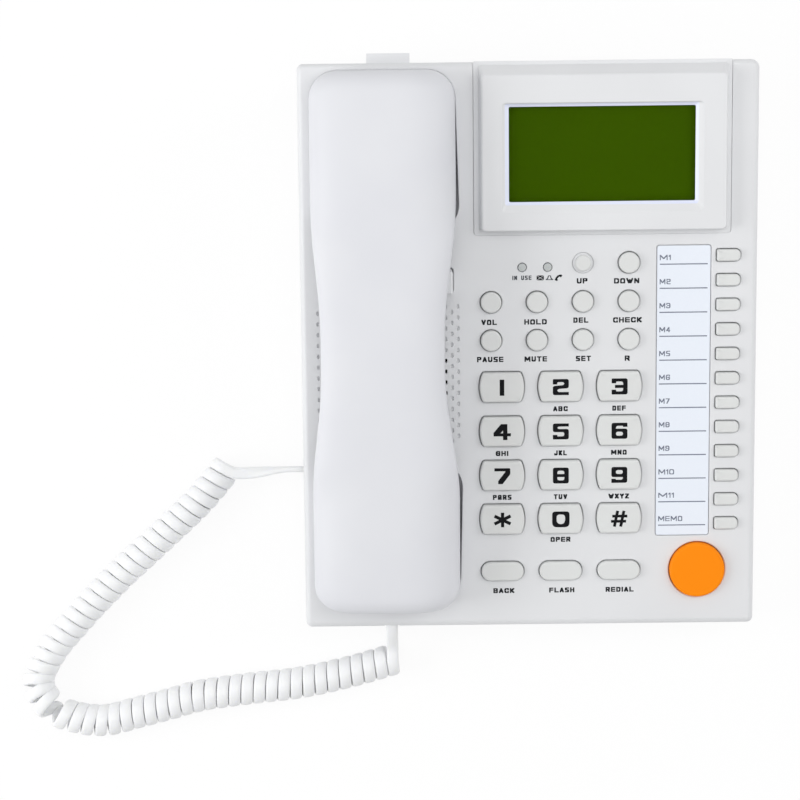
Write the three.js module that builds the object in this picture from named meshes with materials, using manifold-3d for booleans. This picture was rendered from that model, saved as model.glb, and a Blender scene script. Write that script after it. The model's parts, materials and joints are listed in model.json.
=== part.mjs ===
// Corded desk phone: wedge-shaped base with a tilting display head, thirty-eight keys and an
// index card, and a handset resting in two cups on a curly cord. Millimetres, +Z up, the
// base's long side along Y with the display at the rear (+Y).
import * as THREE from 'three';
import { mergeVertices } from 'three/addons/utils/BufferGeometryUtils.js';
import Module from 'manifold-3d';

const wasm = await Module();
wasm.setup();

// ---------------------------------------------------------------- driving dimensions
// Base. The panel frame used below has u to the right, v up the slope, w out of the panel,
// with its origin on the panel's surface in the middle of the base.
const BASE_WIDTH = 179.6;
const BASE_LENGTH = 224.3;        // along the slope
const PANEL_TILT = 9;             // degrees
const PANEL_HEIGHT = 40.6;         // panel surface over the table at the middle
const BASE_CORNER = 4;            // corner radius seen from above
const EDGE_ROUND = 2.4;           // rounding along the panel's outer edges
const WALL = 2.2;
const SEAT_GAP = 0.3;             // between pieces that rest on each other
const TRAY_TOP = 9;               // parting line between the two base shells
const FOOT_HEIGHT = 1.6;
const FOOT_RADIUS = 6.5;
const FOOT_INSET = [19, 21];
const LIP_HEIGHT = 1.6;
const LIP_THICKNESS = 1;

// Handset, on its own axis parallel to v
const EAR_HALF = 28.2;
const WAIST_HALF = 24.6;
const MOUTH_HALF = 28.9;
const WAIST = [-5.5, 7.5];        // v range over which the grip keeps its waist
const EAR_FLARE = 55;             // length over which it widens to the ear end
const MOUTH_FLARE = 54;
const HANDSET_CORNER = 11;        // corner radius seen from above
const HANDSET_END_ROUND = 7;      // rounding of the two ends seen from the side,
const FACE_END_ROUND = 12;        // above and below the parting line
const HANDSET_SINK = 8;           // how far the ear and mouth faces sit below the panel
const HANDSET_END_TOP = 21;
const HANDSET_CROWN = 29;
const GRIP_CLEARANCE = 12;        // finger room between the grip and the panel
const GRIP_ARCH = 0.22;           // share of that room lost at the grip's ends
const SHOULDER = 18;              // length of the slope from the grip down to each face
const SHOULDER_INSET = 14.5;      // how far the slope reaches in over the cups
const HANDSET_WALL = 2.2;
const BACK_POWER = 3;             // squareness of the handset's section above its parting line
const FACE_POWER = 5;             // and below it, where the ear and mouth faces are nearly flat

// Cups that hold the two ends of the handset
const HANDSET_INSET = 33;         // from the left edge of the base to the handset's axis
const CUP_MARGIN = 0.6;           // handset to cup at each side
const CUP_CORNER = 11;
const CUP_END_LAND = [9.1, 2.95]; // panel left between the cups and the front and rear edges
const EAR_CUP_LENGTH = 63.15;
const MOUTH_CUP_LENGTH = 58.2;
const HANDSET_OVERHANG = [0.2, 0.15];   // rounded ends over the cups' front and rear edges
const HANDSET_U = -BASE_WIDTH / 2 + HANDSET_INSET;
const EAR_CUP = [
  BASE_LENGTH / 2 - CUP_END_LAND[1] - EAR_CUP_LENGTH, BASE_LENGTH / 2 - CUP_END_LAND[1],
];
const MOUTH_CUP = [
  -BASE_LENGTH / 2 + CUP_END_LAND[0], -BASE_LENGTH / 2 + CUP_END_LAND[0] + MOUTH_CUP_LENGTH,
];
const HANDSET_REAR = EAR_CUP[1] + HANDSET_OVERHANG[1];
const HANDSET_FRONT = MOUTH_CUP[0] - HANDSET_OVERHANG[0];

// Display head
const HEAD_WIDTH = 99.9;
const HEAD_LENGTH = 67.4;
const HEAD_SIDE_LAND = 11;        // panel left between the head and the right edge
const HEAD_RIGHT = BASE_WIDTH / 2 - HEAD_SIDE_LAND;
const HEAD_LEFT = HEAD_RIGHT - HEAD_WIDTH;
const HEAD_REAR = BASE_LENGTH / 2;
const HEAD_FRONT = HEAD_REAR - HEAD_LENGTH;
const HEAD_GAP = 0.4;
const HEAD_CORNER = 2.6;
const WELL_CORNER = 0.6;          // tighter than the head's, so that the head can turn in its well
const HEAD_DEPTH = 13.6;          // below the panel
const HEAD_SPLIT = -6;            // parting plane between bezel and rear cover
const HINGE_RADIUS = 3;           // rounded front edge that turns in the well
const HINGE_PIN = 1.6;
const HINGE_PLAY = 0.4;
const PLATEAU_HEIGHT = 5;
const PLATEAU_INSET = { left: 2.5, right: 3, front: 3.3, rear: 5 };   // length of its slopes
const PLATEAU = {
  left: HEAD_LEFT + PLATEAU_INSET.left, right: HEAD_RIGHT - PLATEAU_INSET.right,
  front: HEAD_FRONT + PLATEAU_INSET.front, rear: HEAD_REAR - PLATEAU_INSET.rear,
};
const WINDOW_SIZE = [72.4, 36.8];
const WINDOW_INSET = [13.3, 13];        // from the head's left and front edges
const WINDOW = {
  left: HEAD_LEFT + WINDOW_INSET[0], right: HEAD_LEFT + WINDOW_INSET[0] + WINDOW_SIZE[0],
  front: HEAD_FRONT + WINDOW_INSET[1], rear: HEAD_FRONT + WINDOW_INSET[1] + WINDOW_SIZE[1],
};
const WINDOW_BEVEL = [2.8, 2.7];
const WINDOW_BEVEL_DEPTH = 1.8;
const LENS_THICKNESS = 1.2;
const LENS_LAP = 2;
const LCD_THICKNESS = 3.2;
const LCD_LAP = 3.6;

// Keys: outline, stand above the panel and places
const KEY_GAP = 0.35;
const KEY_FLANGE = 1.1;           // flange that keeps the key under the panel
const KEY_FLANGE_THICKNESS = 1;
const KEY_BEVEL = 0.6;
const DIGIT_KEY = { width: 17.9, height: 11.8, flat: 13.6, proud: 2.2, sides: 6 };
const FUNCTION_KEY = { width: 16.9, height: 7.5, corner: 3.7, proud: 1.8, sides: 3 };
const ROUND_KEY = { width: 8.2, height: 8.2, corner: 4.1, proud: 2, sides: 3 };
const UP_KEY = { width: 6.4, height: 6.4, corner: 3.2, proud: 1.8, sides: 3, recess: 8.7 };
const RECESS_DEPTH = 0.5;
const MEMORY_KEY = { width: 9.2, height: 4.6, corner: 1.5, proud: 1.6, sides: 2 };
const HANDSFREE_KEY = { width: 22, height: 22, corner: 11, proud: 2.4, sides: 5 };
const DIGIT_FIRST = [-10.8, -15.35];
const DIGIT_PITCH = [23.2, 17.75];
const FUNCTION_ROW = -BASE_LENGTH / 2 + 22.3;
const ROUND_FIRST = [-14.9, HEAD_FRONT - 11.3];
const ROUND_PITCH = [18.07, 15.15];
const MEMORY_FIRST = [BASE_WIDTH / 2 - 11.5, HEAD_FRONT - 8.8];
const MEMORY_PITCH = 9.74;
const MEMORY_COUNT = 12;
const HANDSFREE_AT = [BASE_WIDTH / 2 - 22.9, -BASE_LENGTH / 2 + 22.2];

// Index card beside the memory keys
const CARD_WIDTH = 20.9;
const CARD_MARGIN = 3.9;          // beyond the first and the last memory key
const CARD_GAP = 2.4;             // to the memory keys
const CARD_RIGHT = MEMORY_FIRST[0] - MEMORY_KEY.width / 2 - CARD_GAP;
const CARD = {
  left: CARD_RIGHT - CARD_WIDTH,
  right: CARD_RIGHT,
  front: MEMORY_FIRST[1] - (MEMORY_COUNT - 1) * MEMORY_PITCH - CARD_MARGIN - 0.8,
  rear: MEMORY_FIRST[1] + CARD_MARGIN,
};
const CARD_THICKNESS = 0.6;

// Board, keypad mat and lamps under the panel
const MAT_THICKNESS = 1;
const MAT_DEPTH = 6.5;            // top of the mat below the panel
const DOME_RADIUS = 3.2;
const BOARD_THICKNESS = 1.6;
const BOARD = {
  left: HANDSET_U + MOUTH_HALF + CUP_MARGIN + 4.1, right: BASE_WIDTH / 2 - 5,
  front: -BASE_LENGTH / 2 + 12.5, rear: HEAD_FRONT - 4.2,
};
const BOARD_RIB = 2.4;
const MAT_INSET = { left: 3, right: 0.6, front: 0.6, rear: 1 };
const CHIP = { width: 26, length: 12, height: 3, at: [17.2, -21.45] };
const CAPACITOR = { radius: 4, height: 9, at: [[-8.8, -57.45], [3.2, -57.45]] };
const SOLDER_DEPTH = 0.5;         // how far the parts under the board reach into it
const LAMP_FIRST = [-2.6, HEAD_FRONT - 12.8];
const LAMP_PITCH = 10;
const LAMP_COUNT = 2;
const LAMP_RADIUS = 1.5;
const LAMP_PROUD = 0.4;
const BOARD_POST = 2.4;
const BOARD_POST_AT = [22.5, -27.5, -69.5];

// Loudspeaker and its grille, under the handset's grip
const SPEAKER_V = -11.15;
const SPEAKER_RADIUS = 25;
const SPEAKER_DEPTH = 14;
const GRILLE_RADIUS = 15;
const GRILLE_PITCH = [2.25, 4.3];
const GRILLE_SLOT = [0.48, 0.85];  // half width and half length of a slot

// Hook switch: a wide plunger that the grip holds down
const HOOK_V = [22.75, 31.75];
const HOOK_REACH = [14, 26];      // to the left and right of the handset's axis
const HOOK_SIDE_GAP = 0.4;
const HOOK_END_GAP = 1.2;
const HOOK_TRAVEL = 4;
const HOOK_FLANGE = 1.4;

// Sockets and plugs
const LINE_JACK_U = HANDSET_U + 2.4;
const LINE_JACK = { width: 17.4, height: 14, proud: 8.7, depth: 16 };
const LINE_SOCKET = { width: 10, height: 7, depth: 13 };
const JACK_FLANGE = 1.6;
const PLUG = { width: 7.7, height: 6.6, length: 12.4 };
const PLUG_SINK = 0.6;             // the plugs' ends lie inside their sockets
const PLUG_GAP = 0.3;
const CORD_U = HANDSET_U + 1.5;    // handset socket, cord tunnel and lead
const PLUG_W = -2.6;               // axis of the handset socket
const TUNNEL_HALF = 3.2;           // tunnel for the lead under the panel's front edge
const TUNNEL_W = [-4.6, -1.1];
const BASE_JACK_Y = -47.5;
const BASE_JACK_Z = 15;
const BASE_JACK = { width: 13, depth: 16, bottom: TRAY_TOP + SEAT_GAP, top: 20 };

// Screw bosses between the shells, and wall-mounting keyholes
const BOSS_RADIUS = 3.5;
const PILLAR_RADIUS = 4;
const BOSS_SEAT = 14;
const SCREW_RADIUS = 1.3;
const SCREW_HEAD = 3.2;
const SCREW_CLEARANCE = 1.8;
const SCREW_PILOT = 8;
// Distances in from the side and end walls; the sign says which wall
const BOSS_INSETS = [[-39, -26.6], [8, -6.6], [-39, 26.6], [44, 24.6]];
const KEYHOLE_Y = 42;
const KEYHOLE = { head: 4.2, neck: 2, run: 9 };

// Capsules in the handset
const RECEIVER_INSET = 28.8;      // from the ear end
const RECEIVER = { radius: 17, height: 9, v: HANDSET_REAR - RECEIVER_INSET };
const MICROPHONE_INSET = 23.8;    // from the mouth end
const MICROPHONE = { radius: 4.9, height: 6, v: HANDSET_FRONT + MICROPHONE_INSET };
const CAPSULE_SEAT = 1;           // height of the boss that a capsule lies on
const CAPSULE_RIM = 1;
const SOUND_HOLE = 1.1;
const SOUND_CIRCLE = 6;

// Curly cord: outer diameter of the coil and the flat cord it is wound from
const COIL_DIAMETER = 13;
const CORD_WIDTH = 4.8;
const CORD_THICKNESS = 2.4;
const COIL_SIDES = 8;
const COIL_ROUTE = [
  [-52.6, -125.1], [-72.8, -130.7], [-93.3, -134.9], [-113.8, -137.1], [-134.2, -139.8],
  [-146.8, -143.1], [-158.8, -146.1], [-172.8, -149.3], [-183.8, -148.3], [-194.3, -144.1],
  [-200.1, -133.7], [-195.3, -121.9], [-182.9, -107.1], [-166.3, -90.1], [-149.8, -75.1],
  [-133.3, -59.7], [-122.7, -47.3],
];

// ---------------------------------------------------------------- shape helpers
const TILT = THREE.MathUtils.degToRad(PANEL_TILT);
const PANEL_MATRIX = new THREE.Matrix4()
  .makeTranslation(0, 0, PANEL_HEIGHT)
  .multiply(new THREE.Matrix4().makeRotationX(TILT));
const SLOPE_LENGTH = BASE_LENGTH * Math.cos(TILT);
const FAR = BASE_LENGTH + BASE_WIDTH;   // safely past the phone in any direction
const BOSSES = BOSS_INSETS.map(([side, end]) => [
  Math.sign(side) * BASE_WIDTH / 2 - side, Math.sign(end) * SLOPE_LENGTH / 2 - end,
]);

// Outline of a rounded rectangle, anticlockwise, with the same number of points per corner.
function outline(width, height, radius, perCorner = 4, centre = [0, 0]) {
  const points = [];
  const corners = [[1, 1], [-1, 1], [-1, -1], [1, -1]];
  corners.forEach(([sx, sy], corner) => {
    for (let i = 0; i < perCorner; i += 1) {
      const angle = (corner + i / (perCorner - 1)) * Math.PI / 2;
      points.push(new THREE.Vector2(
        centre[0] + sx * (width / 2 - radius) + radius * Math.cos(angle),
        centre[1] + sy * (height / 2 - radius) + radius * Math.sin(angle),
      ));
    }
  });
  return points;
}

// The same outline from its four edges.
function edges({ left, right, front, rear }, radius, grow = 0, perCorner = 4) {
  return outline(
    right - left + 2 * grow, rear - front + 2 * grow, Math.max(radius + grow, 0.2), perCorner,
    [(left + right) / 2, (front + rear) / 2],
  );
}

// Regular polygon that stands for a round outline.
function round(radius, centre = [0, 0], sides = 16) {
  return Array.from({ length: sides }, (_, i) => {
    const angle = (i + 0.5) * 2 * Math.PI / sides;
    return new THREE.Vector2(centre[0] + radius * Math.cos(angle), centre[1] + radius * Math.sin(angle));
  });
}

// Straight prism on an outline, between two heights.
function prism(points, low, high) {
  const geometry = new THREE.ExtrudeGeometry(new THREE.Shape(points), {
    depth: high - low, bevelEnabled: false,
  });
  return geometry.translate(0, 0, low);
}

// Block between two corners.
function block([x0, y0, z0], [x1, y1, z1]) {
  return new THREE.BoxGeometry(x1 - x0, y1 - y0, z1 - z0)
    .translate((x0 + x1) / 2, (y0 + y1) / 2, (z0 + z1) / 2);
}

// Extrusion of an outline drawn in the (y, z) plane, across the whole width.
function acrossWidth(points, halfWidth) {
  const basis = new THREE.Matrix4().makeBasis(
    new THREE.Vector3(0, 1, 0), new THREE.Vector3(0, 0, 1), new THREE.Vector3(1, 0, 0),
  );
  return prism(points, -halfWidth, halfWidth).applyMatrix4(basis);
}

// Extrusion of an outline drawn in the (x, z) plane, along the length.
function alongLength(points, low, high) {
  const basis = new THREE.Matrix4().makeBasis(
    new THREE.Vector3(1, 0, 0), new THREE.Vector3(0, 0, 1), new THREE.Vector3(0, -1, 0),
  );
  return prism(points, -high, -low).applyMatrix4(basis);
}

// Closed skin over a row of rings that all have the same number of points.
function loft(rings) {
  const count = rings[0].length;
  const positions = rings.flat().flatMap((p) => [p.x, p.y, p.z]);
  const index = [];
  for (let r = 0; r < rings.length - 1; r += 1) {
    for (let i = 0; i < count; i += 1) {
      const a = r * count + i;
      const b = r * count + (i + 1) % count;
      index.push(a, b, b + count, a, b + count, a + count);
    }
  }
  const last = (rings.length - 1) * count;
  for (let i = 1; i < count - 1; i += 1) {
    index.push(0, i + 1, i, last, last + i, last + i + 1);
  }
  const geometry = new THREE.BufferGeometry();
  geometry.setAttribute('position', new THREE.Float32BufferAttribute(positions, 3));
  geometry.setIndex(index);
  return geometry;
}

// Rings of one outline family at given heights: [points, height] pairs.
function stack(levels) {
  return loft(levels.map(([points, z]) => points.map((p) => new THREE.Vector3(p.x, p.y, z))));
}

// Body of revolution about Z from (radius, height) pairs that start and end on the axis.
function revolve(profile, segments) {
  const points = profile.map(([r, z]) => new THREE.Vector2(r, z));
  return new THREE.LatheGeometry(points, segments).rotateX(Math.PI / 2);
}

// Shapes that stand square to the table, brought into the panel frame.
function upright(geometry) {
  return geometry.applyMatrix4(PANEL_MATRIX.clone().invert());
}

function solid(geometry) {
  const bare = geometry.clone();
  Object.keys(bare.attributes)
    .filter((name) => name !== 'position')
    .forEach((name) => bare.deleteAttribute(name));
  const merged = mergeVertices(bare, 1e-4);
  return new wasm.Manifold(new wasm.Mesh({
    numProp: 3,
    vertProperties: new Float32Array(merged.attributes.position.array),
    triVerts: new Uint32Array(merged.index.array),
  }));
}

function join(first, ...rest) {
  return rest.reduce((sum, piece) => sum.add(piece), first);
}

function cut(first, ...rest) {
  return rest.reduce((sum, piece) => sum.subtract(piece), first);
}

function common(first, ...rest) {
  return rest.reduce((sum, piece) => sum.intersect(piece), first);
}

function geometryOf(manifold) {
  const mesh = manifold.getMesh();
  const geometry = new THREE.BufferGeometry();
  const corners = Float32Array.from(
    { length: mesh.numVert * 3 },
    (_, i) => mesh.vertProperties[Math.floor(i / 3) * mesh.numProp + (i % 3)],
  );
  geometry.setAttribute('position', new THREE.BufferAttribute(corners, 3));
  geometry.setIndex(new THREE.BufferAttribute(new Uint32Array(mesh.triVerts), 1));
  return geometry;
}

function plastic(color, roughness = 0.45, extra = {}) {
  return new THREE.MeshStandardMaterial({ color, roughness, metalness: 0, ...extra });
}

const FINISH = {
  base: plastic('#dddee0', 0.42),
  handset: plastic('#e2e3e5', 0.35),
  key: plastic('#d9dbdc', 0.4),
  orange: plastic('#fe8e0a', 0.42),
  card: plastic('#e7edf6', 0.7),
  lens: plastic('#9fb27a', 0.08, { transparent: true, opacity: 0.35 }),
  lcd: plastic('#385400', 0.3),
  cord: plastic('#dcdcdc', 0.5),
  plug: plastic('#e8ecef', 0.15, { transparent: true, opacity: 0.7 }),
  jack: plastic('#e1e1e1', 0.45),
  rubber: plastic('#8f9296', 0.8),
  board: plastic('#2f6b3c', 0.5),
  speaker: new THREE.MeshStandardMaterial({ color: '#2b2c2e', roughness: 0.6, metalness: 0.4 }),
};

function piece(name, geometry, material) {
  const mesh = new THREE.Mesh(geometry, material);
  mesh.name = name;
  return mesh;
}

// ---------------------------------------------------------------- base outer form
// Side view of the wedge: flat bottom, upright ends, sloping panel with rounded edges.
function wedgeProfile(low, inset, rounding) {
  const half = SLOPE_LENGTH / 2 - inset;
  const top = (y) => PANEL_HEIGHT - inset / Math.cos(TILT) + y * Math.tan(TILT);
  const points = [new THREE.Vector2(-half, low), new THREE.Vector2(half, low)];
  if (rounding === 0) {
    points.push(new THREE.Vector2(half, top(half)), new THREE.Vector2(-half, top(-half)));
    return points;
  }
  const corner = (y, towards, startAngle, endAngle) => {
    const centreY = y - towards * rounding;
    const centreZ = top(centreY) - rounding / Math.cos(TILT);
    for (let i = 0; i <= 3; i += 1) {
      const angle = startAngle + (endAngle - startAngle) * i / 3;
      points.push(new THREE.Vector2(
        centreY + rounding * Math.cos(angle), centreZ + rounding * Math.sin(angle),
      ));
    }
  };
  corner(half, 1, 0, Math.PI / 2 + TILT);
  corner(-half, -1, Math.PI / 2 + TILT, Math.PI);
  return points;
}

function planPrism(inset, low, high) {
  const radius = Math.max(BASE_CORNER - inset, 0.8);
  return prism(outline(BASE_WIDTH - 2 * inset, SLOPE_LENGTH - 2 * inset, radius), low, high);
}

// Section across the panel with rounded left and right edges.
function crossSection() {
  const half = BASE_WIDTH / 2;
  const points = [new THREE.Vector2(-half, -FAR), new THREE.Vector2(half, -FAR)];
  [[1, 0], [-1, Math.PI / 2]].forEach(([side, startAngle]) => {
    for (let i = 0; i <= 3; i += 1) {
      const angle = startAngle + Math.PI / 2 * i / 3;
      points.push(new THREE.Vector2(
        side * (half - EDGE_ROUND) + EDGE_ROUND * Math.cos(angle),
        -EDGE_ROUND + EDGE_ROUND * Math.sin(angle),
      ));
    }
  });
  return points;
}

// Outer form of the base above a height, and the room inside its walls, in the panel frame.
function wedge(low) {
  return common(
    solid(upright(planPrism(0, low, 2 * PANEL_HEIGHT))),
    solid(upright(acrossWidth(wedgeProfile(low, 0, EDGE_ROUND), BASE_WIDTH))),
    solid(alongLength(crossSection(), -BASE_LENGTH, BASE_LENGTH)),
  );
}

function wedgeCavity(low) {
  return common(
    solid(upright(planPrism(WALL, low, 2 * PANEL_HEIGHT))),
    solid(upright(acrossWidth(wedgeProfile(low, WALL, 0), BASE_WIDTH))),
  );
}

// ---------------------------------------------------------------- key layout
function keyList() {
  const keys = [];
  const digits = ['digit_1', 'digit_2', 'digit_3', 'digit_4', 'digit_5', 'digit_6',
    'digit_7', 'digit_8', 'digit_9', 'star', 'digit_0', 'hash'];
  const digitAt = (column, row) => [
    DIGIT_FIRST[0] + column * DIGIT_PITCH[0], DIGIT_FIRST[1] - row * DIGIT_PITCH[1],
  ];
  const roundAt = (column, row) => [
    ROUND_FIRST[0] + column * ROUND_PITCH[0], ROUND_FIRST[1] - row * ROUND_PITCH[1],
  ];
  digits.forEach((name, i) => {
    keys.push({ name: `key_${name}`, form: DIGIT_KEY, at: digitAt(i % 3, Math.floor(i / 3)) });
  });
  ['back', 'flash', 'redial'].forEach((name, i) => {
    keys.push({ name: `key_${name}`, form: FUNCTION_KEY, at: [digitAt(i, 0)[0], FUNCTION_ROW] });
  });
  const rows = [
    [null, null, 'up', 'down'],
    ['volume', 'hold', 'delete', 'check'],
    ['pause', 'mute', 'set', 'recall'],
  ];
  rows.forEach((names, row) => names.forEach((name, column) => {
    const form = name === 'up' ? UP_KEY : ROUND_KEY;
    if (name) keys.push({ name: `key_${name}`, form, at: roundAt(column, row) });
  }));
  for (let i = 0; i < MEMORY_COUNT; i += 1) {
    keys.push({
      name: `key_memory_${String(i + 1).padStart(2, '0')}`,
      form: MEMORY_KEY,
      at: [MEMORY_FIRST[0], MEMORY_FIRST[1] - i * MEMORY_PITCH],
    });
  }
  keys.push({ name: 'key_handsfree', form: HANDSFREE_KEY, at: HANDSFREE_AT, material: FINISH.orange });
  return keys;
}

const KEYS = keyList();

// Flat-topped key with bowed ends: two arcs through the ends of the flats and the full width.
function bowedOutline({ width, height, flat, sides }, grow, [u, v]) {
  const bulge = (width - flat) / 2;
  const radius = (height * height / 4 + bulge * bulge) / (2 * bulge);
  const middle = width / 2 - radius;
  const reach = Math.asin((height / 2 + grow) / (radius + grow));
  const arc = Array.from({ length: sides }, (_, i) => {
    const angle = reach * (2 * i / (sides - 1) - 1);
    return [middle + (radius + grow) * Math.cos(angle), (radius + grow) * Math.sin(angle)];
  });
  return [...arc, ...arc.map(([x, y]) => [-x, -y])].map(([x, y]) => new THREE.Vector2(u + x, v + y));
}

function keyOutline(form, grow, at = [0, 0]) {
  if (form.flat) return bowedOutline(form, grow, at);
  const radius = Math.min(form.corner + grow, form.width / 2 + grow, form.height / 2 + grow);
  return outline(form.width + 2 * grow, form.height + 2 * grow, radius, form.sides, at);
}

// Cap with a bevelled top, and a flange that stays under the panel.
function keyCap(form) {
  const flangeTop = -WALL - SEAT_GAP;
  const flangeBottom = flangeTop - KEY_FLANGE_THICKNESS;
  return stack([
    [keyOutline(form, KEY_FLANGE), flangeBottom],
    [keyOutline(form, KEY_FLANGE), flangeTop],
    [keyOutline(form, 0), flangeTop + 0.01],
    [keyOutline(form, 0), form.proud - KEY_BEVEL],
    [keyOutline(form, -KEY_BEVEL), form.proud],
  ]);
}

function keys() {
  return KEYS.map(({ name, form, at, material }) => {
    const mesh = piece(name, keyCap(form), material ?? FINISH.key);
    mesh.position.set(at[0], at[1], 0);
    return mesh;
  });
}

// ---------------------------------------------------------------- top shell of the base
const CUP_DEPTH = HANDSET_SINK + SEAT_GAP;
const WELL_DEPTH = HEAD_DEPTH + HEAD_GAP;
const HINGE_AT = [HEAD_FRONT + HINGE_RADIUS, -HINGE_RADIUS];

function earCupOutline(grow) {
  return cupOutline(EAR_CUP, EAR_HALF + CUP_MARGIN, grow);
}

function mouthCupOutline(grow) {
  return cupOutline(MOUTH_CUP, MOUTH_HALF + CUP_MARGIN, grow);
}

function cupOutline([front, rear], half, grow) {
  const box = { left: HANDSET_U - half, right: HANDSET_U + half, front, rear };
  return edges(box, CUP_CORNER, grow, 5);
}

function wellOutline(grow) {
  const box = {
    left: HEAD_LEFT - HEAD_GAP, right: HEAD_RIGHT + HEAD_GAP, front: HEAD_FRONT - HEAD_GAP,
    rear: BASE_LENGTH,
  };
  return edges(box, WELL_CORNER, grow);
}

// Long six-sided slot, its points fore and aft.
function slotOutline([u, v]) {
  const [a, b] = GRILLE_SLOT;
  return [[a, -b / 2], [a, b / 2], [0, b], [-a, b / 2], [-a, -b / 2], [0, -b]]
    .map(([x, y]) => new THREE.Vector2(u + x, v + y));
}

function grilleHoles() {
  const holes = [];
  const columns = Math.floor(GRILLE_RADIUS / GRILLE_PITCH[0]);
  const rows = Math.ceil(GRILLE_RADIUS / GRILLE_PITCH[1]) + 1;
  for (let c = -columns; c <= columns; c += 1) {
    const shift = c % 2 === 0 ? 0 : GRILLE_PITCH[1] / 2;
    for (let v = shift - rows * GRILLE_PITCH[1]; v <= GRILLE_RADIUS; v += GRILLE_PITCH[1]) {
      const u = c * GRILLE_PITCH[0];
      if (Math.hypot(u, v) <= GRILLE_RADIUS) {
        holes.push(prism(slotOutline([HANDSET_U + u, SPEAKER_V + v]), -2 * WALL, WALL));
      }
    }
  }
  return holes;
}

function hookOpening() {
  return edges({
    left: HANDSET_U - HOOK_REACH[0] - HOOK_END_GAP, right: HANDSET_U + HOOK_REACH[1] + HOOK_END_GAP,
    front: HOOK_V[0] - HOOK_SIDE_GAP, rear: HOOK_V[1] + HOOK_SIDE_GAP,
  }, 1.4, 0, 3);
}

function panelOpenings() {
  const through = [-2 * WALL, WALL];
  const openings = KEYS.map(({ form, at }) => prism(keyOutline(form, KEY_GAP, at), ...through));
  KEYS.filter(({ form }) => form.recess).forEach(({ form, at }) => {
    openings.push(prism(round(form.recess / 2, at, 20), -RECESS_DEPTH, WALL));
  });
  openings.push(prism(hookOpening(), ...through));
  for (let i = 0; i < LAMP_COUNT; i += 1) {
    const at = [LAMP_FIRST[0] + i * LAMP_PITCH, LAMP_FIRST[1]];
    openings.push(prism(round(LAMP_RADIUS + SEAT_GAP, at, 10), ...through));
  }
  openings.push(prism(edges(CARD, 0.8, SEAT_GAP, 2), -CARD_THICKNESS - 2 * SEAT_GAP, WALL));
  openings.push(...grilleHoles());
  return openings.map(solid);
}

// Walls that stand inside the shell: cups, display well, speaker ring, board rib and posts.
function innerWalls() {
  const under = -WALL / 2;
  const boardTop = -MAT_DEPTH - MAT_THICKNESS - SEAT_GAP;
  const walls = [
    prism(earCupOutline(WALL), -CUP_DEPTH - WALL, under),
    prism(mouthCupOutline(WALL), -CUP_DEPTH - WALL, under),
    prism(wellOutline(WALL), -WELL_DEPTH - WALL, under),
    block(
      [BOARD.left + 1 - BOARD_RIB, BOARD.front, boardTop + SEAT_GAP],
      [BOARD.left + 1, BOARD.rear, under],
    ),
  ];
  BOARD_POST_AT.forEach((v) => {
    const at = [(CARD.left + CARD.right) / 2, v];
    walls.push(prism(round(BOARD_POST, at, 8), boardTop + SEAT_GAP, under));
  });
  return walls.map(solid);
}

function speakerRing() {
  const inner = SPEAKER_RADIUS + SEAT_GAP;
  const at = [HANDSET_U, SPEAKER_V];
  return cut(
    solid(prism(round(inner + 1.6, at, 20), -WALL - 3.5, -WALL / 2)),
    solid(prism(round(inner / Math.cos(Math.PI / 20), at, 20), -WALL - 9, -WALL)),
  );
}

function bossColumns() {
  return BOSSES.map((at) => solid(
    upright(prism(round(BOSS_RADIUS, at, 10), BOSS_SEAT, 2 * PANEL_HEIGHT)),
  ));
}

function bossPilots() {
  return BOSSES.map((at) => solid(
    upright(prism(round(SCREW_RADIUS, at, 8), BOSS_SEAT - 1, BOSS_SEAT + SCREW_PILOT)),
  ));
}

function hingeHoles() {
  const radius = HINGE_PIN + HINGE_PLAY;
  const hole = acrossWidth(round(radius, HINGE_AT, 12), 3 + (HEAD_RIGHT - HEAD_LEFT) / 2);
  return solid(hole.translate((HEAD_LEFT + HEAD_RIGHT) / 2, 0, 0));
}

function cordTunnel() {
  const front = -BASE_LENGTH / 2 - 2 * WALL;
  return solid(block(
    [CORD_U - TUNNEL_HALF, front, TUNNEL_W[0]], [CORD_U + TUNNEL_HALF, MOUTH_CUP[0] + 2, TUNNEL_W[1]],
  ));
}

// Cut-outs in the rear and left walls for the two sockets.
function socketCutouts() {
  const rear = SLOPE_LENGTH / 2;
  const half = LINE_JACK.width / 2 + PLUG_GAP;
  const lineTop = TRAY_TOP + SEAT_GAP + LINE_JACK.height + PLUG_GAP;
  const side = BASE_WIDTH / 2;
  return [
    block([LINE_JACK_U - half, rear - WALL - 1, 0], [LINE_JACK_U + half, rear + 1, lineTop]),
    block(
      [-side - 1, BASE_JACK_Y - PLUG.height / 2 - PLUG_GAP, BASE_JACK_Z - PLUG.width / 2 - PLUG_GAP],
      [-side + WALL + 1, BASE_JACK_Y + PLUG.height / 2 + PLUG_GAP,
        BASE_JACK_Z + PLUG.width / 2 + PLUG_GAP],
    ),
  ].map((geometry) => solid(upright(geometry)));
}

function baseTopShell() {
  const low = TRAY_TOP + SEAT_GAP;
  const outer = wedge(low);
  const skin = cut(outer, wedgeCavity(0));
  const inside = common(join(...innerWalls(), ...bossColumns(), speakerRing()), outer);
  const hollows = [
    prism(earCupOutline(0), -CUP_DEPTH, PANEL_HEIGHT),
    prism(mouthCupOutline(0), -CUP_DEPTH, PANEL_HEIGHT),
    prism(wellOutline(0), -WELL_DEPTH, PANEL_HEIGHT),
  ].map(solid);
  return piece('base_top_shell', geometryOf(cut(
    join(skin, inside),
    ...hollows, ...panelOpenings(), ...bossPilots(), hingeHoles(), cordTunnel(), ...socketCutouts(),
  )), FINISH.base);
}

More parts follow.
